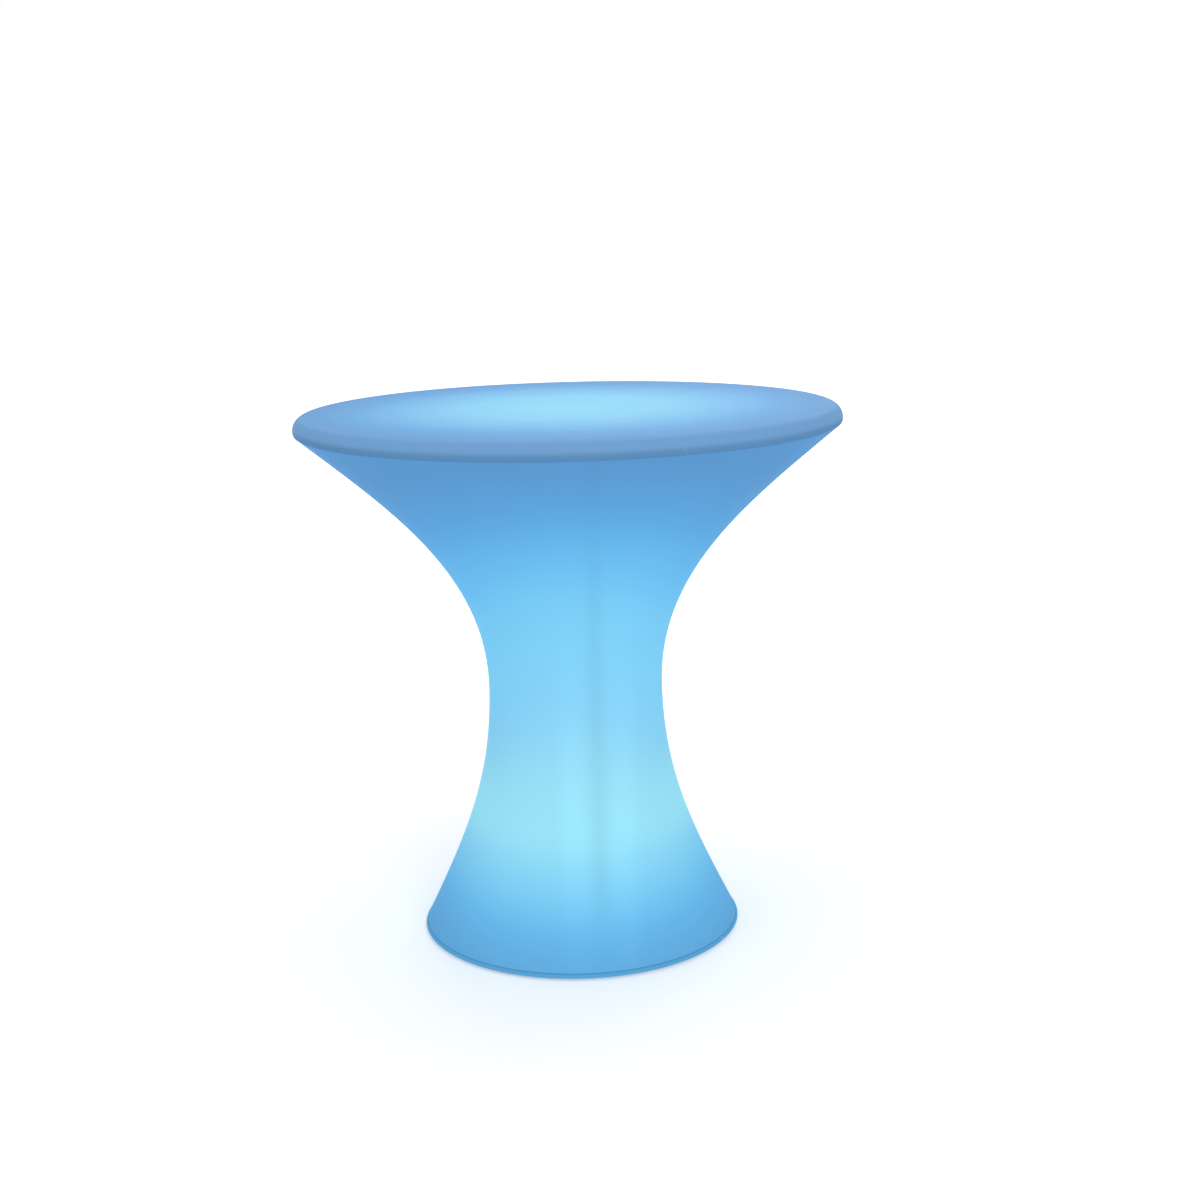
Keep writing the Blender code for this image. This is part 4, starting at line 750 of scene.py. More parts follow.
# Every finish by its slot: the material's name, the function that makes it, and its values
FINISH_LOOKS = {
    "lit_body": ("lit_body_plastic", lit_plastic, body_light_group, 0.00010, 0.1, 0.5, 0.003),
    "lit_top": ("lit_top_plastic", lit_plastic, top_light_group, 0.00006, 0.3, 0.45, 0.003),
    "lit_plate": ("lit_plate_plastic", lit_plastic, plate_light_group, 0.00010, 0.3, 0.5, 0.02),
    "lit_dome": ("lit_dome_plastic", lit_plastic, dome_light_group, 0.00002, 0.1, 0.4, 0.2),
    "white_moulding": ("white_moulding", moulded_plastic, (214, 220, 224), 0.5, 420.0),
    "grey_moulding": ("grey_moulding", moulded_plastic, (116, 122, 130), 0.55, 700.0),
    "black_moulding": ("black_moulding", moulded_plastic, (34, 34, 37), 0.5, 700.0),
    "rubber": ("rubber", moulded_plastic, (38, 38, 38), 0.8, 900.0),
    "silicone": ("silicone", moulded_plastic, (196, 200, 204), 0.6, 900.0),
    "frosted_dome": ("frosted_plastic", moulded_plastic, (225, 236, 242), 0.35, 300.0),
    "steel": ("zinc_plated_steel", metal, (190, 192, 194), 0.32, (40.0, 40.0, 900.0)),
    "painted_steel": ("painted_steel", moulded_plastic, (190, 192, 194), 0.5, 500.0),
    "aluminium": ("machined_aluminium", metal, (208, 210, 212), 0.35, (900.0, 30.0, 30.0)),
    "circuit_board": ("circuit_board", printed_board, (24, 96, 54), (40, 122, 72)),
    "white_board": ("white_board", printed_board, (230, 231, 229), (216, 214, 206)),
    "cell_sleeve": ("cell_sleeve", moulded_plastic, (52, 118, 190), 0.3, 300.0),
    "strap_webbing": ("strap_webbing", webbing),
    "lead_sheath": ("lead_sheath", moulded_plastic, (178, 40, 34), 0.45, 300.0),
}


def make_finishes():
    """Every finish of the table by its slot."""
    finishes = {}
    for slot, (name, coat, *look) in FINISH_LOOKS.items():
        finishes[slot], tree, shader = new_finish(name)
        coat(tree, shader, *look)
    return finishes


# Shaping helpers

def arc(centre, radius, start, end, count):
    """Points on an arc, both ends included."""
    return [(centre[0] + radius * math.cos(start + (end - start) * step / count),
             centre[1] + radius * math.sin(start + (end - start) * step / count))
            for step in range(count + 1)]


def rounded(outline, radius, closed=True):
    """An outline with its corners rounded; corners on the axis and open ends stay."""
    corners = [Vector(point) for point in outline]
    ends = () if closed else (0, len(corners) - 1)
    result = []
    for index, corner in enumerate(corners):
        back = corners[index - 1] - corner
        ahead = corners[(index + 1) % len(corners)] - corner
        if index in ends or corner.x <= 0 or math.pi - back.angle(ahead) < STRAIGHT_ANGLE:
            result.append(tuple(corner))
            continue
        reach = min(radius, back.length * EDGE_SIDE_SHARE, ahead.length * EDGE_SIDE_SHARE)
        first = corner + back.normalized() * reach
        last = corner + ahead.normalized() * reach
        for step in range(EDGE_STEPS + 1):
            share = step / EDGE_STEPS
            result.append(tuple(first * (1 - share) ** 2 + corner * 2 * share * (1 - share)
                                + last * share ** 2))
    return result


def turned(outline, steps, place=Matrix.Identity(4)):
    """Skin of a closed outline of (radius, height) points spun about its axis."""
    piece = bmesh.new()
    verts = [piece.verts.new((radius, 0, height)) for radius, height in outline]
    edges = [piece.edges.new(pair) for pair in zip(verts, verts[1:])]
    if outline[0][0] > 0:
        edges.append(piece.edges.new((verts[-1], verts[0])))
    bmesh.ops.spin(piece, geom=verts + edges, cent=(0, 0, 0), axis=(0, 0, 1),
                   angle=math.tau, steps=steps, use_merge=True)
    bmesh.ops.remove_doubles(piece, verts=piece.verts, dist=WELD_DISTANCE)
    bmesh.ops.recalc_face_normals(piece, faces=piece.faces)
    piece.transform(place)
    return piece


def prism(outline, low, high, place=Matrix.Identity(4), edge=0.0):
    """Skin of a flat outline raised between two levels, with softened edges if asked."""
    piece = bmesh.new()
    face = piece.faces.new([piece.verts.new((x, y, low)) for x, y in outline])
    raised = bmesh.ops.extrude_face_region(piece, geom=[face])
    lifted = [item for item in raised["geom"] if isinstance(item, bmesh.types.BMVert)]
    bmesh.ops.translate(piece, verts=lifted, vec=(0, 0, high - low))
    bmesh.ops.recalc_face_normals(piece, faces=piece.faces)
    if edge > 0:
        sharp = [item for item in piece.edges if item.calc_face_angle() > SMOOTH_ANGLE]
        bmesh.ops.bevel(piece, geom=sharp, offset=edge, segments=2, affect='EDGES',
                        profile=0.5)
    piece.transform(place)
    return piece


def stepped(*values):
    """An outline of level and upright lines, from its radii and levels in turn."""
    return [pair[::-1] if index % 2 else pair
            for index, pair in enumerate(zip(values, values[1:]))]


def rectangle(width, depth, x=0, y=0):
    """Corners of a rectangle about a centre."""
    half_x, half_y = width / 2, depth / 2
    return stepped(x - half_x, y - half_y, x + half_x, y + half_y, x - half_x)


def drum(radius, low, high, bore=0):
    """Half outline of a drum between two levels, or of a ring with a bore."""
    return stepped(bore, low, radius, high, bore)


def loft(start, rings, end):
    """Closed skin from a point through rings with equal counts of points to a point."""
    piece = bmesh.new()
    first, last = piece.verts.new(start), piece.verts.new(end)
    loops = [[piece.verts.new(point) for point in ring] for ring in rings]
    for index in range(len(rings[0])):
        after = (index + 1) % len(rings[0])
        piece.faces.new((first, loops[0][index], loops[0][after]))
        piece.faces.new((last, loops[-1][after], loops[-1][index]))
        for lower, upper in zip(loops, loops[1:]):
            piece.faces.new((lower[index], upper[index], upper[after], lower[after]))
    bmesh.ops.recalc_face_normals(piece, faces=piece.faces)
    return piece


def gather(*skins):
    """Several skins in one group of solids."""
    group = bmesh.new()
    for skin in skins:
        mesh = bpy.data.meshes.new("solid")
        skin.to_mesh(mesh)
        skin.free()
        group.from_mesh(mesh)
        bpy.data.meshes.remove(mesh)
    return group


def posts(radius, low, high, places, steps=SCREW_STEPS):
    """Upright cylinders at some places, to cut with or to stand there."""
    return gather(*[turned(drum(radius, low, high), steps, place) for place in places])


def at(x, y, z=0):
    """A place without any turning."""
    return Matrix.Translation((x, y, z))


def along_x(x, y, z):
    """A place whose own Z runs along +X, and whose own X runs along +Z."""
    return at(x, y, z) @ Matrix(((0, 0, 1, 0), (0, -1, 0, 0), (1, 0, 0, 0), (0, 0, 0, 1)))


def middle(node):
    """The place over or under a node's middle, on the floor."""
    low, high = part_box(node)
    return at((low.x + high.x) / 2, (low.y + high.y) / 2)


def levels(node):
    """A node's lowest and highest level."""
    low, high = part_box(node)
    return low.z, high.z


def half_width(node):
    """Half of a node's width, which is the radius of a round one."""
    low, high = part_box(node)
    return (high.x - low.x) / 2


def circle_places(count, radius):
    """Places evenly spaced on a circle about the table's axis."""
    angles = [math.tau * step / count for step in range(count)]
    return [at(radius * math.cos(angle), radius * math.sin(angle)) for angle in angles]


def numbered(name):
    """The frame's nodes of a repeated piece, in order."""
    found = [node for node in frame["nodes"] if node.rpartition("_")[0] == name]
    return sorted(found, key=lambda node: int(node.rpartition("_")[2]))


def middles(name):
    """The places over or under the middles of a repeated piece's nodes."""
    return [middle(node) for node in numbered(name)]


def smooth(mesh):
    """Round faces shaded smooth, with sharp edges kept."""
    mesh.shade_smooth()
    mesh.set_sharp_from_angle(angle=SMOOTH_ANGLE)


def put(mesh, name, finish, node, place=Matrix.Identity(4)):
    """A named piece of a mesh that stands for a CAD node and rides on its body."""
    piece = bpy.data.objects.new(name, mesh)
    bpy.context.scene.collection.objects.link(piece)
    piece.matrix_world = place
    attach(piece, frame["nodes"][node]["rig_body"])
    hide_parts(node)
    if not mesh.materials:
        mesh.materials.append(FINISHES[finish])
    return piece


def to_mesh(skin, name):
    """A smooth named mesh from a skin."""
    mesh = bpy.data.meshes.new(name)
    skin.to_mesh(mesh)
    skin.free()
    smooth(mesh)
    return mesh


def show(skin, name, finish, node):
    """One piece from a skin that is made in place."""
    return put(to_mesh(skin, name), name, finish, node)


def show_turned(prefix, node, outline, finish, edge=FINE_EDGE, steps=SMALL_STEPS):
    """An outline with its corners rounded and turned about its node's middle."""
    return show(turned(rounded(outline, edge), steps, middle(node)), f"{prefix}_{node}", finish,
                node)


def show_ring(prefix, node, bore, finish, edge, steps=UNIT_STEPS):
    """A ring with rounded edges, in its node's own space."""
    outline = drum(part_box(node)[1].x, *levels(node), bore)
    return show_turned(prefix, node, outline, finish, edge, steps)


def show_copies(skin, prefix, finish, nodes):
    """The same piece, made about the axis, at the middle of every node."""
    mesh = to_mesh(skin, prefix)
    for number, node in enumerate(nodes, 1):
        put(mesh, f"{prefix}_{number}", finish, node, middle(node))


def shape_with(piece, operation, solids):
    """Cut solids out of a piece, or join them to it, in its own mesh."""
    tool_mesh = to_mesh(gather(*solids), "tool")
    body = bpy.data.objects.new("tool", tool_mesh)
    bpy.context.scene.collection.objects.link(body)
    modifier = piece.modifiers.new("shape", 'BOOLEAN')
    modifier.operation = operation
    modifier.object = body
    evaluated = piece.evaluated_get(bpy.context.evaluated_depsgraph_get())
    result = bpy.data.meshes.new_from_object(evaluated)
    piece.modifiers.clear()
    plain = piece.data
    piece.data = result
    bpy.data.meshes.remove(plain)
    bpy.data.objects.remove(body)
    bpy.data.meshes.remove(tool_mesh)
    result.name = piece.name
    smooth(result)


def cut(piece, *cutters):
    """Cut solids out of a piece."""
    shape_with(piece, 'DIFFERENCE', cutters)


def join(piece, *solids):
    """Join solids to a piece."""
    shape_with(piece, 'UNION', solids)


def paint(piece, finish, chosen):
    """Give the faces of a piece whose centres are chosen another finish."""
    mesh = piece.data
    mesh.materials.append(FINISHES[finish])
    for face in mesh.polygons:
        if chosen(face.center):
            face.material_index = len(mesh.materials) - 1


# Mouldings

def outer_curve():
    """Outer line of the body, from the mouth down over the waist to the foot."""
    mouth = Vector((MOUTH_RADIUS, SHELL_TOP, 0))
    inward = Vector((-math.cos(FLARE_ANGLE), -math.sin(FLARE_ANGLE), 0))
    waist = Vector((WAIST_RADIUS, WAIST_HEIGHT, 0))
    above = waist + Vector((0, FLARE_WAIST_REACH, 0))
    below = waist - Vector((0, SKIRT_WAIST_REACH, 0))
    foot = Vector((FOOT_RADIUS, SHELL_BOTTOM, 0))
    upward = Vector((-math.cos(SKIRT_ANGLE), math.sin(SKIRT_ANGLE), 0))
    flare = interpolate_bezier(mouth, mouth + inward * FLARE_REACH, above, waist, CURVE_POINTS)
    skirt = interpolate_bezier(waist, below, foot + upward * SKIRT_REACH, foot, CURVE_POINTS)
    return flare[:-1] + skirt


def body_moulding():
    """The hourglass moulding, with its inner line one wall inside the outer one."""
    outer = outer_curve()
    flange_top = SHELL_BOTTOM + BASE_FLANGE_THICK
    inner = []
    for before, point, after in zip(outer, outer[1:], outer[2:]):
        along = (after - before).normalized()
        inset = point + Vector((along.y, -along.x, 0)) * WALL
        if flange_top < inset.y < SPIGOT_BOTTOM:
            inner.append(tuple(inset.xy))
    outline = [tuple(point.xy) for point in outer[:-2]]
    outline += rounded([outer[-2].xy, *stepped(FOOT_RADIUS, SHELL_BOTTOM, BASE_FLANGE_RADIUS,
                                               flange_top, inner[-1][0])], FINE_EDGE,
                       closed=False)
    outline += reversed(inner)
    outline += stepped(inner[0][0], SPIGOT_BOTTOM, TOP_FLANGE_RADIUS, TOP_SEAT,
                       MOUTH_RADIUS - MOUTH_LIP, SHELL_TOP)
    piece = show(turned(outline, ROUND_STEPS), "body_moulding", "lit_body", "body_shell")
    cut(piece, *screw_holes(HEAD_CLEARANCE, "tabletop_screw", "base_screw"))


def screw_holes(clearance, *kinds):
    """Cutters for the threads of some kinds of screw, over the screws' whole length."""
    cutters = []
    for kind in kinds:
        radius = SCREWS[kind][0] + clearance
        for node in numbered(kind):
            low, high = levels(node)
            cutters.append(posts(radius, low - GAP, high + GAP, [middle(node)]))
    return cutters


def top_moulding():
    """The hollow tabletop with its rounded rim, the spigot under it and its screw bosses."""
    upper_level = TABLE_HEIGHT - RIM_UPPER_ROUND
    lower_level = upper_level - RIM_STRAIGHT
    rim_centre = TOP_RADIUS - RIM_UPPER_ROUND
    sweep = math.pi / 2 - RIM_TUCK_ANGLE
    spigot = TOP_FLANGE_RADIUS - SPIGOT_CLEARANCE
    ceiling = LID_BOTTOM + WALL
    outline = [(rim_centre * share, TABLE_HEIGHT) for share in TOP_RING_SHARES]
    outline += arc((rim_centre, upper_level), RIM_UPPER_ROUND, math.pi / 2, 0, RIM_STEPS)
    outline += arc((TOP_RADIUS - RIM_LOWER_ROUND, lower_level), RIM_LOWER_ROUND, 0, -sweep,
                   RIM_TUCK_STEPS)
    edge = outline[-1][0]
    outline += rounded([outline[-1], (spigot, LID_BOTTOM),
                        *stepped(spigot, SPIGOT_BOTTOM, VENT_RADIUS, SPIGOT_BOTTOM + WALL,
                                 spigot - WALL, ceiling, edge - WALL),
                        (TOP_RADIUS - WALL, upper_level)], SOFT_EDGE, closed=False)[1:-1]
    outline += arc((rim_centre, upper_level), RIM_UPPER_ROUND - WALL, 0, math.pi / 2,
                   RIM_INNER_STEPS)
    outline += [(0, TABLE_HEIGHT - WALL)]
    piece = show(turned(outline, ROUND_STEPS), "top_moulding", "lit_top", "tabletop")
    tip = levels("tabletop_screw_1")[1] + GAP
    join(piece, posts(TOP_BOSS_RADIUS, ceiling - EMBED, tip + TOP_BOSS_COVER,
                      middles("tabletop_screw"), SMALL_STEPS))
    cut(piece, *screw_holes(GAP, "tabletop_screw"))


# Fastenings

def drive_reach(drive, angle):
    """Outline of a screw's drive recess at an angle, as a share of its reach."""
    if drive == "hexagon":
        sixth = math.pi / 3
        return math.cos(sixth / 2) / math.cos((angle + sixth / 2) % sixth - sixth / 2)
    return CROSS_WAIST_SHARE + (1 - CROSS_WAIST_SHARE) * math.cos(2 * angle) ** CROSS_SHARPNESS


def thread_radius(radius, turns, fade):
    """Radius of a thread after some turns: a ridge once each turn, none at the ends."""
    ridge = 1 - abs(2 * (turns % 1) - 1)
    return radius * (1 - THREAD_DEPTH_SHARE * (1 - ridge * fade))


def threaded_screw(name):
    """A button head with its drive recess on a shank with a helical thread."""
    radius, head_height, drive, tip_up = SCREWS[name]
    head_radius = half_width(name + "_1")
    crown, tip = levels(name + "_1")[::tip_up]
    neck = crown + tip_up * head_height
    angles = [math.tau * step / SCREW_STEPS for step in range(SCREW_STEPS)]

    def ring(level, reaches):
        return [(reach * math.cos(angle), reach * math.sin(angle), level)
                for angle, reach in zip(angles, reaches)]

    floor = crown + tip_up * head_height * DRIVE_DEPTH_SHARE
    recess = [head_radius * DRIVE_SHARE * drive_reach(drive, angle) for angle in angles]
    flat = head_radius * HEAD_FLAT_SHARE
    rings = [ring(floor, recess), ring(crown, recess)]
    for across, along in arc((0, 0), 1, math.pi / 2, 0, CROWN_STEPS):
        level = crown + tip_up * head_height * (1 - along) * CROWN_SHARE
        rings.append(ring(level, [flat + (head_radius - flat) * across] * SCREW_STEPS))
    rings.append(ring(neck, [head_radius] * SCREW_STEPS))
    rows = round(abs(tip - neck) / (radius * PITCH_SHARE) * THREAD_ROWS)
    for row in range(rows + 1):
        turns = row / THREAD_ROWS
        fade = min(1, turns, (rows - row) / THREAD_ROWS)
        rings.append(ring(neck + (tip - neck) * row / rows,
                          [thread_radius(radius, turns - angle / math.tau, fade)
                           for angle in angles]))
    return loft((0, 0, floor), rings, (0, 0, tip))


def fastenings():
    """Every screw and bolt with its thread and drive."""
    for name in SCREWS:
        show_copies(threaded_screw(name), "threaded_" + name, "steel", numbered(name))


# Base

def plate_moulding():
    """The base plate: rounded edge, tray recess, collar with bosses, wells and foot seats."""
    recess_top = gasket_high.z + GAP
    recess_radius = TRAY_FLANGE_RADIUS + TRAY_CLEARANCE
    collar = PLATE_OPENING + COLLAR_WALL
    outline = rounded([(PLATE_OPENING, COLLAR_TOP),
                       *stepped(PLATE_OPENING, recess_top, recess_radius, PLATE_BOTTOM,
                                PLATE_RADIUS - PLATE_EDGE_ROUND),
                       (PLATE_RADIUS, PLATE_BOTTOM + PLATE_EDGE_ROUND),
                       (FOOT_RADIUS + PLATE_EDGE_ROUND, PLATE_TOP - PLATE_EDGE_ROUND),
                       *stepped(FOOT_RADIUS, PLATE_TOP, collar, COLLAR_TOP)], SOFT_EDGE)
    piece = show(turned(outline, ROUND_STEPS), "plate_moulding", "lit_plate", "base_plate")
    join(piece, posts(TRAY_BOSS_RADIUS, PLATE_TOP - EMBED, COLLAR_TOP - EMBED,
                      middles("tray_screw"), SMALL_STEPS))
    wells = [screw_well(node) for node in numbered("base_screw") + numbered("ballast_bolt")]
    seats = [foot_seat(node) for node in numbered("rubber_foot")]
    cut(piece, *wells, *seats, *screw_holes(GAP, "tray_screw"))


def screw_well(node):
    """Cutter for a screw's head and shank in the plate, with a chamfered mouth."""
    radius, head_height = SCREWS[node.rpartition("_")[0]][:2]
    head = half_width(node) + HEAD_CLEARANCE
    top = levels(node)[0] + head_height + GAP
    outline = stepped(0, PLATE_BOTTOM - OVERRUN, head + WELL_CHAMFER, PLATE_BOTTOM)
    outline += [(head, PLATE_BOTTOM + WELL_CHAMFER)]
    outline += stepped(head, top, radius + HEAD_CLEARANCE, PLATE_TOP + OVERRUN, 0)
    return turned(outline, SMALL_STEPS, middle(node))


def foot_seat(node):
    """Cutter for the seat of a foot and the hole of its stem in the plate."""
    outline = stepped(0, PLATE_BOTTOM - OVERRUN, half_width(node) + GAP, PLATE_BOTTOM + FOOT_SINK,
                      FOOT_STEM_RADIUS + GAP, PLATE_TOP + OVERRUN, 0)
    return turned(outline, SMALL_STEPS, middle(node))


def ballast():
    """The steel ring with its rounded edges and the holes for its bolts."""
    bolt_circle = middle("ballast_bolt_1").translation.length
    bore = 2 * bolt_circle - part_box("ballast_ring")[1].x
    piece = show_ring("rolled", "ballast_ring", bore, "painted_steel", SOFT_EDGE, ROUND_STEPS)
    cut(piece, *screw_holes(GAP, "ballast_bolt"))


def feet():
    """Rubber feet with a grooved tread and a stem into the plate."""
    radius = half_width("rubber_foot_1")
    top = levels("rubber_foot_1")[1]
    tread = radius - FOOT_TAPER
    half = TREAD_GROOVE_WIDTH / 2
    outline = [(0, 0)]
    for share in TREAD_SHARES:
        groove = tread * share
        outline += [(groove - half, 0),
                    *stepped(groove - half, TREAD_GROOVE_DEPTH, groove + half, 0)]
    outline += [(tread, 0), (radius, PLATE_BOTTOM),
                *stepped(radius, PLATE_BOTTOM + FOOT_SINK - GAP, FOOT_STEM_RADIUS, top, 0)]
    show_copies(turned(rounded(outline, FINE_EDGE), SMALL_STEPS), "treaded_foot", "rubber",
                numbered("rubber_foot"))


# Lamp tray and controls

def board_place(shares):
    """A place on the control board, from its shares of the board's size."""
    return at((board_low.x + board_high.x) / 2 + shares[0] * (board_high.x - board_low.x),
              (board_low.y + board_high.y) / 2 + shares[1] * (board_high.y - board_low.y))


def board_corners():
    """The places of the control board's four standoffs."""
    return [at(x, y) for x in (board_low.x + STANDOFF_INSET, board_high.x - STANDOFF_INSET)
            for y in (board_low.y + STANDOFF_INSET, board_high.y - STANDOFF_INSET)]


def hinge_place():
    """The charging cap's hinge axis runs along X through this point."""
    low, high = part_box("cap_hinge_pin")
    return tuple((low + high) / 2)


def tray_moulding():
    """The lamp tray: flange, hollow, floor with its openings, wall, pilasters, standoffs."""
    upper = TRAY_OUTER - TRAY_WALL
    lower = upper - TRAY_LEDGE
    flange_top = TRAY_BOTTOM + TRAY_FLANGE_THICK
    outline = stepped(0, FLOOR_TOP, lower, LEDGE_TOP, upper, tray_high.z, TRAY_OUTER,
                      flange_top, TRAY_FLANGE_RADIUS, TRAY_BOTTOM, upper, FLOOR_BOTTOM, 0)
    piece = show(turned(rounded(outline, FINE_EDGE), UNIT_STEPS), "tray_moulding",
                 "grey_moulding", "lamp_tray")
    pilasters = posts(PILASTER_RADIUS, FLOOR_TOP - EMBED, LEDGE_TOP - EMBED,
                      middles("dome_screw"), SMALL_STEPS)
    join(piece, pilasters, *standoffs(), *hinge_ears(), finger_ring())
    through = [posts(radius + GAP, FLOOR_BOTTOM - OVERRUN, FLOOR_TOP + OVERRUN, [middle(node)],
                     SMALL_STEPS)
               for node, radius in (("power_button", BUTTON_RADIUS),
                                    ("charge_socket", SOCKET_RADIUS),
                                    ("status_lens", PILOT_RADIUS))]
    cut(piece, *through, pin_bore(EAR_FACE + EAR_THICK + OVERRUN),
        *screw_holes(HEAD_CLEARANCE, "tray_screw"), *screw_holes(GAP, "dome_screw"))


def standoffs():
    """Posts on the tray's floor, each with a stake through a corner of the control board."""
    outline = stepped(0, FLOOR_TOP - EMBED, STANDOFF_RADIUS, BOARD_BOTTOM - GAP, STAKE_RADIUS,
                      BOARD_TOP + STAKE_PROUD, 0)
    return [turned(outline, SCREW_STEPS, corner) for corner in board_corners()]


def hinge_ears():
    """The two ears on the hollow's ceiling that hold the cap's hinge pin."""
    x, y, z = hinge_place()
    rise = FLOOR_BOTTOM + EMBED - z
    outline = [(rise, -KNUCKLE_RADIUS), (rise, KNUCKLE_RADIUS)] + [
        (-across, along) for along, across in arc((0, 0), KNUCKLE_RADIUS, 0, math.pi, EAR_STEPS)]
    return [prism(outline, low, low + EAR_THICK, along_x(x, y, z))
            for low in (EAR_FACE, -EAR_FACE - EAR_THICK)]


def finger_ring():
    """A low ring on the hollow's ceiling, round the push button, for a finger to find."""
    outline = drum(FINGER_RING_RADIUS + FINGER_RING_WIDTH, FLOOR_BOTTOM - FINGER_RING_WIDTH / 2,
                   FLOOR_BOTTOM + EMBED, FINGER_RING_RADIUS)
    return turned(outline, SMALL_STEPS, middle("power_button"))


def pin_bore(half):
    """Cutter along the charging cap's hinge axis."""
    return turned(drum(HINGE_PIN_RADIUS + GAP, -half, half), SCREW_STEPS,
                  along_x(*hinge_place()))


def seals():
    """The seals and gaskets, with the holes of the screws that pass through them."""
    show_ring("soft", "top_seal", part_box("top_seal")[1].x - SEAL_WIDTH, "silicone", SOFT_EDGE,
              ROUND_STEPS)
    gasket = show_ring("soft", "tray_gasket", PLATE_OPENING, "rubber", FINE_EDGE)
    cut(gasket, *screw_holes(HEAD_CLEARANCE, "tray_screw"))
    seal = show_ring("soft", "dome_seal", dome_radius() - DOME_WALL, "rubber", FINE_EDGE)
    cut(seal, *screw_holes(GAP, "dome_screw"))


def button():
    """The push button: a dished face inside a raised lip, and its flange above the floor."""
    low, high = levels("power_button")
    face = BUTTON_RADIUS - BUTTON_LIP
    outline = [(face * share, low + BUTTON_DISH * (1 - share ** 2)) for share in DISH_SHARES]
    outline += [(BUTTON_RADIUS, low),
                *stepped(BUTTON_RADIUS, FLOOR_TOP + GAP, half_width("power_button"), high, 0)]
    show_turned("dished", "power_button", outline, "silicone", SOFT_EDGE)


def switch():
    """The plunger that the button pushes, and the switch case that it slides into."""
    show_turned("round", "switch_plunger", drum(PLUNGER_RADIUS, *levels("switch_plunger")),
                "white_moulding", steps=SCREW_STEPS)
    low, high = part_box("button_switch")
    case = rectangle(high.x - low.x, high.y - low.y)
    place = middle("button_switch")
    piece = show(prism(case, low.z, high.z, place, FINE_EDGE), "push_switch_case",
                 "black_moulding", "button_switch")
    cut(piece, posts(PLUNGER_RADIUS + GAP, low.z - OVERRUN, high.z - SWITCH_CEILING, [place]))


def domed_end(radius, low, rise):
    """Half outline of a domed lower end, from the axis out to a radius."""
    return [(radius * math.cos(angle), low + rise * (1 - math.sin(angle)))
            for angle in (math.pi / 2 * (1 - step / DOMED_END_STEPS)
                          for step in range(DOMED_END_STEPS + 1))]


def lens():
    """The pilot light's guide, with a domed end in the hollow."""
    low, high = levels("status_lens")
    flange = half_width("status_lens")
    step = FLOOR_TOP + GAP
    top = step + flange - PILOT_RADIUS
    outline = domed_end(PILOT_RADIUS, low, PILOT_RADIUS / 2)
    outline += stepped(PILOT_RADIUS, step, flange, top, PILOT_RADIUS, high, 0)
    show(turned(outline, SMALL_STEPS, middle("status_lens")), "domed_status_lens",
         "frosted_dome", "status_lens")


def socket():
    """The charging socket with a chamfered bore, and its round tipped contact pin."""
    low, high = levels("charge_socket")
    pin_low, pin_high = levels("socket_pin")
    pin = half_width("socket_pin")
    bore_top = low + SOCKET_BORE_DEPTH
    outline = [(SOCKET_BORE_RADIUS, bore_top), (SOCKET_BORE_RADIUS, low + SOFT_EDGE),
               *stepped(SOCKET_BORE_RADIUS + SOFT_EDGE, low, SOCKET_RADIUS, high, pin + GAP,
                        bore_top)]
    show_turned("bored", "charge_socket", outline, "black_moulding")
    outline = domed_end(pin, pin_low, pin) + stepped(pin, pin_high, 0)
    show(turned(outline, SCREW_STEPS, middle("socket_pin")), "round_socket_pin", "steel",
         "socket_pin")


def cap():
    """The socket's soft cap with its plug and knuckle, and the steel hinge pin."""
    x, y, z = hinge_place()
    top = FLOOR_BOTTOM - GAP
    half = CAP_NECK_WIDTH / 2
    opening = math.asin(half / CAP_RADIUS)
    outline = [(half, 0)] + arc((0, CAP_ARM), CAP_RADIUS, opening - math.pi / 2,
                                math.pi * 3 / 2 - opening, SMALL_STEPS) + [(-half, 0)]
    piece = show(prism(outline, top - CAP_THICK, top, at(x, y), FINE_EDGE),
                 "soft_charge_cap", "rubber", "charge_cap")
    knuckle = rounded(drum(KNUCKLE_RADIUS, -half, half), FINE_EDGE)
    plug = rounded(drum(CAP_PLUG_RADIUS, top - EMBED, levels("charge_cap")[1]), FINE_EDGE)
    join(piece, turned(knuckle, SMALL_STEPS, along_x(x, y, z)),
         turned(plug, SMALL_STEPS, at(x, y + CAP_ARM)))
    cut(piece, pin_bore(half + OVERRUN))
    length = half_width("cap_hinge_pin")
    pin = rounded(drum(HINGE_PIN_RADIUS, -length, length), FINE_EDGE)
    show(turned(pin, SCREW_STEPS, along_x(x, y, z)), "round_hinge_pin", "steel",
         "cap_hinge_pin")


# Battery

def along_y(x, z, end):
    """A place on the level Z whose own Z runs towards one end of the battery, +Y or -Y."""
    return at(x, 0, z) @ Matrix.Rotation(-end * math.pi / 2, 4, 'X')


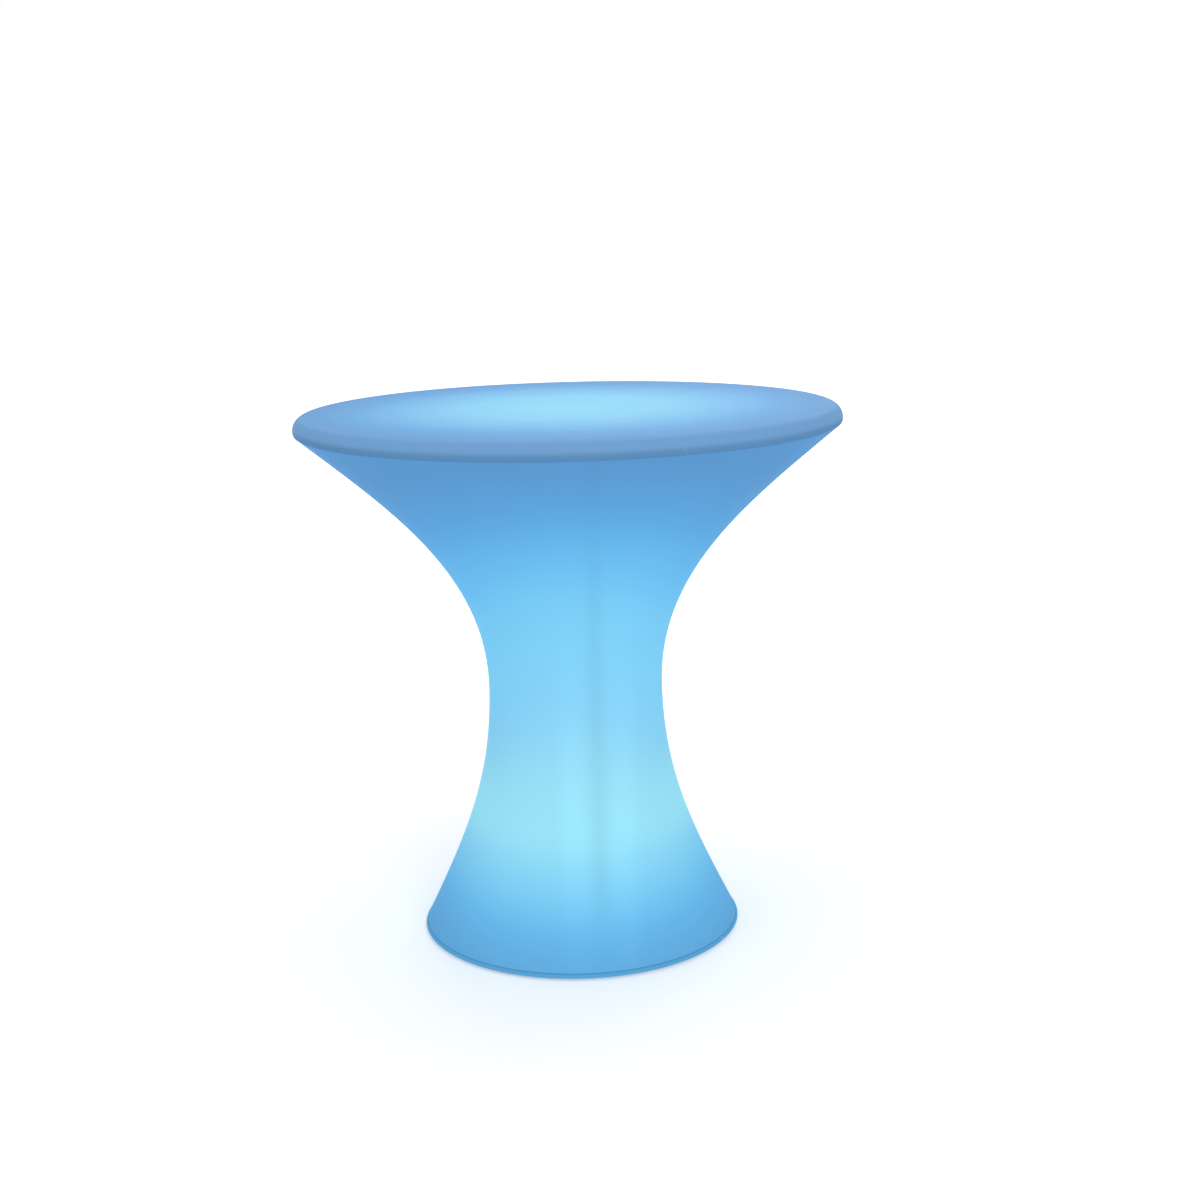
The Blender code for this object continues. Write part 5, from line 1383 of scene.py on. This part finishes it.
def battery():
    """Sleeved cells in the troughs of their holder, with its contacts."""
    low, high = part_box("battery_holder")
    box = rectangle(high.x - low.x, high.y - low.y, middle("battery_holder").translation.x)
    holder = show(prism(box, low.z, high.z, edge=SOFT_EDGE / 2), "troughed_holder",
                  "black_moulding", "battery_holder")
    troughs = []
    contacts = []
    for number, node in enumerate(numbered("battery_cell")):
        cell_low, cell_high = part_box(node)
        radius = half_width(node)
        half = (cell_high.y - cell_low.y) / 2
        x = (cell_low.x + cell_high.x) / 2
        place = along_y(x, (cell_low.z + cell_high.z) / 2, -1 if number % 2 else 1)
        trough = drum(radius + GAP, -half - GAP, half + GAP)
        troughs.append(turned(trough, CELL_STEPS, place))
        contacts += [prism(rectangle(CONTACT_WIDTH, CONTACT_THICK, x, side * (half + GAP / 2)),
                           cell_low.z + radius / 2, high.z) for side in (-1, 1)]
        cell = show(turned(cell_outline(radius, half), CELL_STEPS, place),
                    "sleeved_cell_" + node.rpartition("_")[2], "cell_sleeve", node)
        ends = (half - CELL_CAP_HEIGHT - SLEEVE_LIP, half - SLEEVE_LIP)
        into_cell = place.inverted()
        paint(cell, "steel", lambda point: is_metal(into_cell @ point, radius, ends))
    cut(holder, *troughs)
    show(gather(*contacts), "holder_contacts", "steel", "battery_holder")


def strap():
    """The webbing strap over the cells, down both sides of the holder and in under it."""
    low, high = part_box("battery_strap")
    side = half_width("battery_strap")
    inner = side - STRAP_THICK
    band = stepped(-inner, low.z, -side, high.z, side, low.z, inner, high.z - STRAP_THICK,
                   -inner)
    upright = at(middle("battery_holder").translation.x, 0) @ Matrix.Rotation(
        math.pi / 2, 4, 'X')
    show(prism(band, low.y, high.y, upright, FINE_EDGE / 2), "woven_strap", "strap_webbing",
         "battery_strap")


def cell_outline(radius, half):
    """A cell: shrunk sleeve with lips over both ends, crimp groove, raised terminal."""
    can_top = half - CELL_CAP_HEIGHT
    end = radius * CELL_END_SHARE
    crimp = radius * CRIMP_DROP_SHARE
    flank = crimp * CRIMP_FLANK_SHARE
    return rounded([*stepped(0, SLEEVE_LIP - half, end, -half, radius, can_top - crimp - flank),
                    (radius * CRIMP_WAIST_SHARE, can_top - crimp),
                    (radius, can_top - crimp + flank),
                    *stepped(radius, can_top, end, can_top - SLEEVE_LIP, CELL_CAP_RADIUS, half,
                             0)], FINE_EDGE)


def is_metal(point, radius, ends):
    """Whether a point of a cell, in the cell's own coordinates, is on a bare end."""
    inside = math.hypot(point.x, point.y) < radius * CELL_END_SHARE
    return inside and (point.z > ends[0] or point.z <= -ends[1] + FINE_EDGE)


# Control board

def control_board():
    """The printed board with its round corners and the holes for the tray's stakes."""
    half_x = (board_high.x - board_low.x) / 2 - BOARD_CORNER
    half_y = (board_high.y - board_low.y) / 2 - BOARD_CORNER
    outline = []
    for index, (side, end) in enumerate(((1, 1), (-1, 1), (-1, -1), (1, -1))):
        start = index * math.pi / 2
        outline += arc((side * half_x, end * half_y), BOARD_CORNER, start,
                       start + math.pi / 2, CORNER_STEPS)
    board = show(prism(outline, BOARD_BOTTOM, BOARD_TOP, board_place((0, 0))),
                 "printed_control_board", "circuit_board", "control_board")
    cut(board, posts(STAKE_RADIUS + GAP, BOARD_BOTTOM - OVERRUN, BOARD_TOP + OVERRUN,
                     board_corners()))


def chip():
    """The board's chip with rows of pins along its four sides."""
    place = board_place(CHIP_PLACE_SHARES)
    show(prism(rectangle(CHIP_SIDE, CHIP_SIDE), BOARD_TOP, BOARD_TOP + CHIP_HEIGHT, place,
               FINE_EDGE), "board_chip", "black_moulding", "control_board")
    pitch = CHIP_SIDE / (CHIP_PIN_COUNT + 1)
    pin = rectangle(CHIP_PIN_WIDTH, CHIP_PIN_REACH, 0, (CHIP_SIDE + CHIP_PIN_REACH) / 2)
    pins = [prism([(x + (index + 1) * pitch - CHIP_SIDE / 2, y) for x, y in pin], BOARD_TOP,
                  BOARD_TOP + CHIP_PIN_WIDTH,
                  place @ Matrix.Rotation(side * math.pi / 2, 4, 'Z'))
            for side in range(4) for index in range(CHIP_PIN_COUNT)]
    show(gather(*pins), "board_chip_pins", "steel", "control_board")


def coil():
    """The board's coil: wire turns between two flanges."""
    pitch = COIL_HEIGHT / (COIL_TURNS + 2)
    top = BOARD_TOP + COIL_HEIGHT
    outline = stepped(0, BOARD_TOP, COIL_RADIUS, BOARD_TOP + pitch)
    for turn in range(COIL_TURNS):
        low = BOARD_TOP + pitch * (turn + 1)
        outline += [(COIL_RADIUS * COIL_CORE_SHARE, low),
                    (COIL_RADIUS * COIL_WIRE_SHARE, low + pitch / 2)]
    outline += [(COIL_RADIUS, top - pitch), *stepped(COIL_RADIUS, top, 0)]
    show(turned(outline, SMALL_STEPS, board_place(COIL_PLACE_SHARES)), "board_coil",
         "black_moulding", "control_board")


def capacitor():
    """The board's capacitor: a can with a crimp groove near its foot and a sunk top."""
    top = BOARD_TOP + CAPACITOR_HEIGHT
    waist = CAPACITOR_RADIUS * CAPACITOR_WAIST_SHARE
    groove = [BOARD_TOP + CAPACITOR_HEIGHT * share for share in CAPACITOR_GROOVE_SHARES]
    outline = [*stepped(0, BOARD_TOP, CAPACITOR_RADIUS, groove[0]), (waist, groove[1]),
               (CAPACITOR_RADIUS, groove[2]),
               *stepped(CAPACITOR_RADIUS, top, waist, top - FINE_EDGE, 0)]
    show(turned(rounded(outline, FINE_EDGE), SMALL_STEPS, board_place(CAPACITOR_PLACE_SHARES)),
         "board_capacitor", "aluminium", "control_board")


def connectors():
    """The board's two lead connectors."""
    for number, shares in enumerate(CONNECTOR_PLACE_SHARES, 1):
        show(prism(rectangle(CONNECTOR_LENGTH, CONNECTOR_WIDTH), BOARD_TOP,
                   BOARD_TOP + CONNECTOR_HEIGHT, board_place(shares), FINE_EDGE),
             f"board_connector_{number}", "white_moulding", "control_board")


# Light source

def lead_place():
    """Where the LED lead rises through the sink, midway between two fins."""
    return at(FIN_PITCH * LEAD_FIN_COUNT, board_place(CONNECTOR_PLACE_SHARES[1]).translation.y)


def lead_hole(low, high):
    """Cutter for the LED lead's hole through a layer between two levels."""
    return posts(LEAD_RADIUS + GAP, low - OVERRUN, high + OVERRUN, [lead_place()])


def heat_sink():
    """The sink's round plate with its straight fins, screw holes and lead hole."""
    piece = show_turned("finned", "heat_sink", drum(sink_high.x, SINK_BOTTOM, sink_high.z),
                        "aluminium", steps=UNIT_STEPS)
    reach = middle("dome_screw_1").translation.length - PILASTER_RADIUS - FIN_MARGIN
    count = int((reach - FIN_THICK) / FIN_PITCH)
    fins = []
    for index in range(-count, count + 1):
        x = index * FIN_PITCH
        length = 2 * math.sqrt(reach ** 2 - (abs(x) + FIN_THICK / 2) ** 2)
        fins.append(prism(rectangle(FIN_THICK, length, x), sink_low.z, SINK_BOTTOM + EMBED,
                          edge=FINE_EDGE))
    join(piece, *fins)
    cut(piece, lead_hole(SINK_BOTTOM, sink_high.z), *screw_holes(GAP, "dome_screw"))


def light_source():
    """Thermal pad and LED board, with its LED cases and their lenses."""
    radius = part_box("led_board")[1].x
    level = levels("led_board")[0]
    top = level + LED_BOARD_THICK
    for node, prefix, finish, low, high in (
            ("thermal_pad", "soft", "silicone", *levels("thermal_pad")),
            ("led_board", "printed", "white_board", level, top)):
        layer = show_turned(prefix, node, drum(radius, low, high), finish, FINE_EDGE / 2,
                            UNIT_STEPS)
        cut(layer, lead_hole(low, high))
    places = [place for share, count in zip(LED_RING_SHARES, LED_RING_COUNTS)
              for place in circle_places(count, radius * share)]
    cases = [prism(rectangle(LED_SIDE, LED_SIDE), top, top + LED_HEIGHT, place, FINE_EDGE)
             for place in places]
    show(gather(*cases), "led_cases", "white_moulding", "led_board")
    show(posts(LED_SIDE * LED_LENS_SHARE, top + LED_HEIGHT, top + LED_HEIGHT + FINE_EDGE / 2,
               places), "led_lenses", "lit_dome", "led_board")


def receiver():
    """The remote receiver's case, with its round lens on one side."""
    low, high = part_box("remote_receiver")
    half = half_width("remote_receiver")
    outline = [(half, low.y), (half, 0)]
    outline += arc((0, 0), half * RECEIVER_LENS_SHARE, 0, math.pi, SCREW_STEPS)
    outline += [(-half, 0), (-half, low.y)]
    show(prism(outline, low.z, high.z, edge=FINE_EDGE), "lensed_remote_receiver",
         "black_moulding", "remote_receiver")


def dome_radius():
    """Outer radius of the dome, just inside its screws' heads."""
    screw_circle = middle("dome_screw_1").translation.length
    return screw_circle - half_width("dome_screw_1") - DOME_SCREW_SPACE


def dome():
    """The frosted dome on its flange, with its screw holes."""
    low, high = levels("diffuser_dome")
    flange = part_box("diffuser_dome")[1].x
    flange_top = low + DOME_FLANGE_THICK
    radius = dome_radius()
    angles = [math.pi / 2 * step / CURVE_POINTS for step in range(1, CURVE_POINTS + 1)]

    def line(reach, base, crown):
        return [(reach * math.sin(angle), base + (crown - base) * math.cos(angle))
                for angle in angles]

    outline = [(0, high)] + line(radius, flange_top, high)
    outline += rounded(stepped(radius, flange_top, flange, low, radius - DOME_WALL), FINE_EDGE,
                       closed=False)[1:-1]
    outline += reversed(line(radius - DOME_WALL, low, high - DOME_WALL))
    outline += [(0, high - DOME_WALL)]
    piece = show(turned(outline, UNIT_STEPS), "frosted_diffuser_dome", "lit_dome",
                 "diffuser_dome")
    cut(piece, *screw_holes(GAP, "dome_screw"))


# Leads

def smooth_line(route):
    """Points along a smooth curve through a route, a lead step apart."""
    knots = [Vector(point) for point in route]
    knots = [2 * knots[0] - knots[1]] + knots + [2 * knots[-1] - knots[-2]]
    points = []
    for before, start, end, after in zip(knots, knots[1:], knots[2:], knots[3:]):
        count = max(2, round((end - start).length / LEAD_STEP))
        reach = (end - start).length / 3
        leave = (end - before).normalized() * reach
        arrive = (after - start).normalized() * reach
        points += interpolate_bezier(start, start + leave, end - arrive, end, count + 1)[:-1]
    return points + [knots[-2]]


def lead(node, route):
    """A round lead on a smooth line through its route's points."""
    points = smooth_line(route)
    side = (points[1] - points[0]).orthogonal()
    rings = []
    for before, point, after in zip(points[:1] + points, points, points[1:] + points[-1:]):
        along = (after - before).normalized()
        side = (side - along * side.dot(along)).normalized()
        over = along.cross(side)
        rings.append([point + (side * math.cos(angle) + over * math.sin(angle)) * LEAD_RADIUS
                      for angle in (math.tau * step / SCREW_STEPS
                                    for step in range(SCREW_STEPS))])
    show(loft(points[0], rings, points[-1]), "round_" + node, "lead_sheath", node)


def leads():
    """Battery lead round to the board, and LED lead up through the sink."""
    holder_low, holder_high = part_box("battery_holder")
    cell_low, cell_high = levels("battery_cell_1")
    x, y = board_place(CONNECTOR_PLACE_SHARES[0]).translation.xy
    side = y + CONNECTOR_WIDTH / 2 + GAP
    level = BOARD_TOP + CONNECTOR_HEIGHT / 2
    start = holder_high.x - LEAD_SLACK
    end = holder_high.y + GAP
    low = (holder_low.z + (cell_low + cell_high) / 2) / 2
    lead("battery_lead",
         [(start, end, low), (start, end + LEAD_SLACK / 2, low),
          ((start + x) / 2, end + LEAD_SLACK, (low + level) / 2),
          (x, end + LEAD_SLACK / 4, level), (x, (end + side) / 2, level), (x, side, level)])

    x, y = board_place(CONNECTOR_PLACE_SHARES[1]).translation.xy
    plug_top = BOARD_TOP + CONNECTOR_HEIGHT + GAP
    rise = lead_place().translation
    lead("led_lead",
         [(x, y, plug_top), (x, y, plug_top + LEAD_RADIUS), (rise.x, rise.y, sink_low.z),
          (rise.x, rise.y, sink_high.z), (rise.x, rise.y, levels("led_lead")[1])])


# Studio

FLOOR_RADIUS = 30.0
FLOOR_STEPS = 64
FLOOR_COLOUR = (0.86, 0.86, 0.86)
FLOOR_ROUGHNESS = 0.9
FLOOR_NEAR = 0.4
FLOOR_FAR = 1.8
FLOOR_LIFT_NEAR = 0.35
SKY_LIGHT = 0.42
# Soft lamps: name, place, size, power in watts
LAMPS = (
    ("key_lamp", (1.1, -3.0, 2.3), 2.2, 46.0),
    ("fill_lamp", (-2.6, -1.5, 1.8), 2.2, 12.0),
    ("top_lamp", (0.0, 0.4, 3.2), 2.4, 26.0),
    ("back_lamp", (0.6, 2.8, 2.0), 2.2, 16.0),
)


def seen_rays(tree):
    """1 where a ray shows the background: to the camera, in gloss or through glass."""
    path = add_node(tree, "ShaderNodeLightPath")
    return calculate(tree, 'MAXIMUM', path.outputs["Is Camera Ray"],
                     calculate(tree, 'MAXIMUM', path.outputs["Is Glossy Ray"],
                               path.outputs["Is Transmission Ray"]))


def make_floor():
    """A plain pale floor that keeps the table's shadow and turns white further away."""
    skin = bmesh.new()
    bmesh.ops.create_circle(skin, cap_ends=True, segments=FLOOR_STEPS, radius=FLOOR_RADIUS)
    floor = bpy.data.objects.new("floor", to_mesh(skin, "floor"))
    bpy.context.scene.collection.objects.link(floor)

    material, tree, shader = new_finish("pale_floor")
    feed_all(tree, shader, {"Base Color": FLOOR_COLOUR, "Roughness": FLOOR_ROUGHNESS,
                            "Specular IOR Level": 0.0})
    distance = add_node(tree, "ShaderNodeVectorMath", {0: object_place(tree)},
                        operation='LENGTH').outputs["Value"]
    white = smooth_step(tree, distance, FLOOR_NEAR, FLOOR_FAR, FLOOR_LIFT_NEAR, 1.0)
    lift = add_node(tree, "ShaderNodeEmission",
                    {"Strength": product(tree, white, seen_rays(tree))}).outputs[0]
    both = add_node(tree, "ShaderNodeAddShader", {0: shader.outputs[0], 1: lift}).outputs[0]
    clear = add_node(tree, "ShaderNodeBsdfTransparent").outputs[0]
    below = add_node(tree, "ShaderNodeNewGeometry").outputs["Backfacing"]
    diffuse = add_node(tree, "ShaderNodeLightPath").outputs["Is Diffuse Ray"]
    unseen = calculate(tree, 'MAXIMUM', below, diffuse)
    chosen = add_node(tree, "ShaderNodeMixShader", {0: unseen, 1: both, 2: clear}).outputs[0]
    feed(tree, tree.nodes["Material Output"].inputs["Surface"], chosen)
    floor.data.materials.append(material)


def make_world():
    """Even light all round, seen as white."""
    world = bpy.data.worlds.new("studio")
    bpy.context.scene.world = world
    world.use_nodes = True
    tree = world.node_tree
    background = tree.nodes["Background"]
    background.inputs["Color"].default_value = (1, 1, 1, 1)
    feed(tree, background.inputs["Strength"],
         smooth_step(tree, seen_rays(tree), 0.0, 1.0, SKY_LIGHT, 1.0))


def make_lamps():
    """Broad soft lamps that all point at the table's middle."""
    for name, place, size, power in LAMPS:
        data = bpy.data.lights.new(name, 'AREA')
        data.shape = 'DISK'
        data.size = size
        data.energy = power
        lamp = bpy.data.objects.new(name, data)
        lamp.location = place
        aim = Vector((0, 0, TABLE_HEIGHT / 2)) - Vector(place)
        lamp.rotation_euler = aim.to_track_quat('-Z', 'Y').to_euler()
        bpy.context.scene.collection.objects.link(lamp)


def coat_nodes():
    """Give every CAD node the finish of its material slot."""
    for name, node in frame["nodes"].items():
        node.data.materials.clear()
        node.data.materials.append(FINISHES[SLOTS[name]])


SLOTS = {part["node"]: part["material_slot"] for part in frame["record"]["subparts"]}
FINISHES = make_finishes()
make_camera()
coat_nodes()
body_moulding()
top_moulding()
fastenings()
plate_moulding()
ballast()
feet()
tray_moulding()
seals()
button()
switch()
lens()
socket()
cap()
battery()
strap()
control_board()
chip()
coil()
capacitor()
connectors()
heat_sink()
light_source()
receiver()
dome()
leads()
make_floor()
make_world()
make_lamps()
bpy.context.scene.view_settings.view_transform = 'Standard'
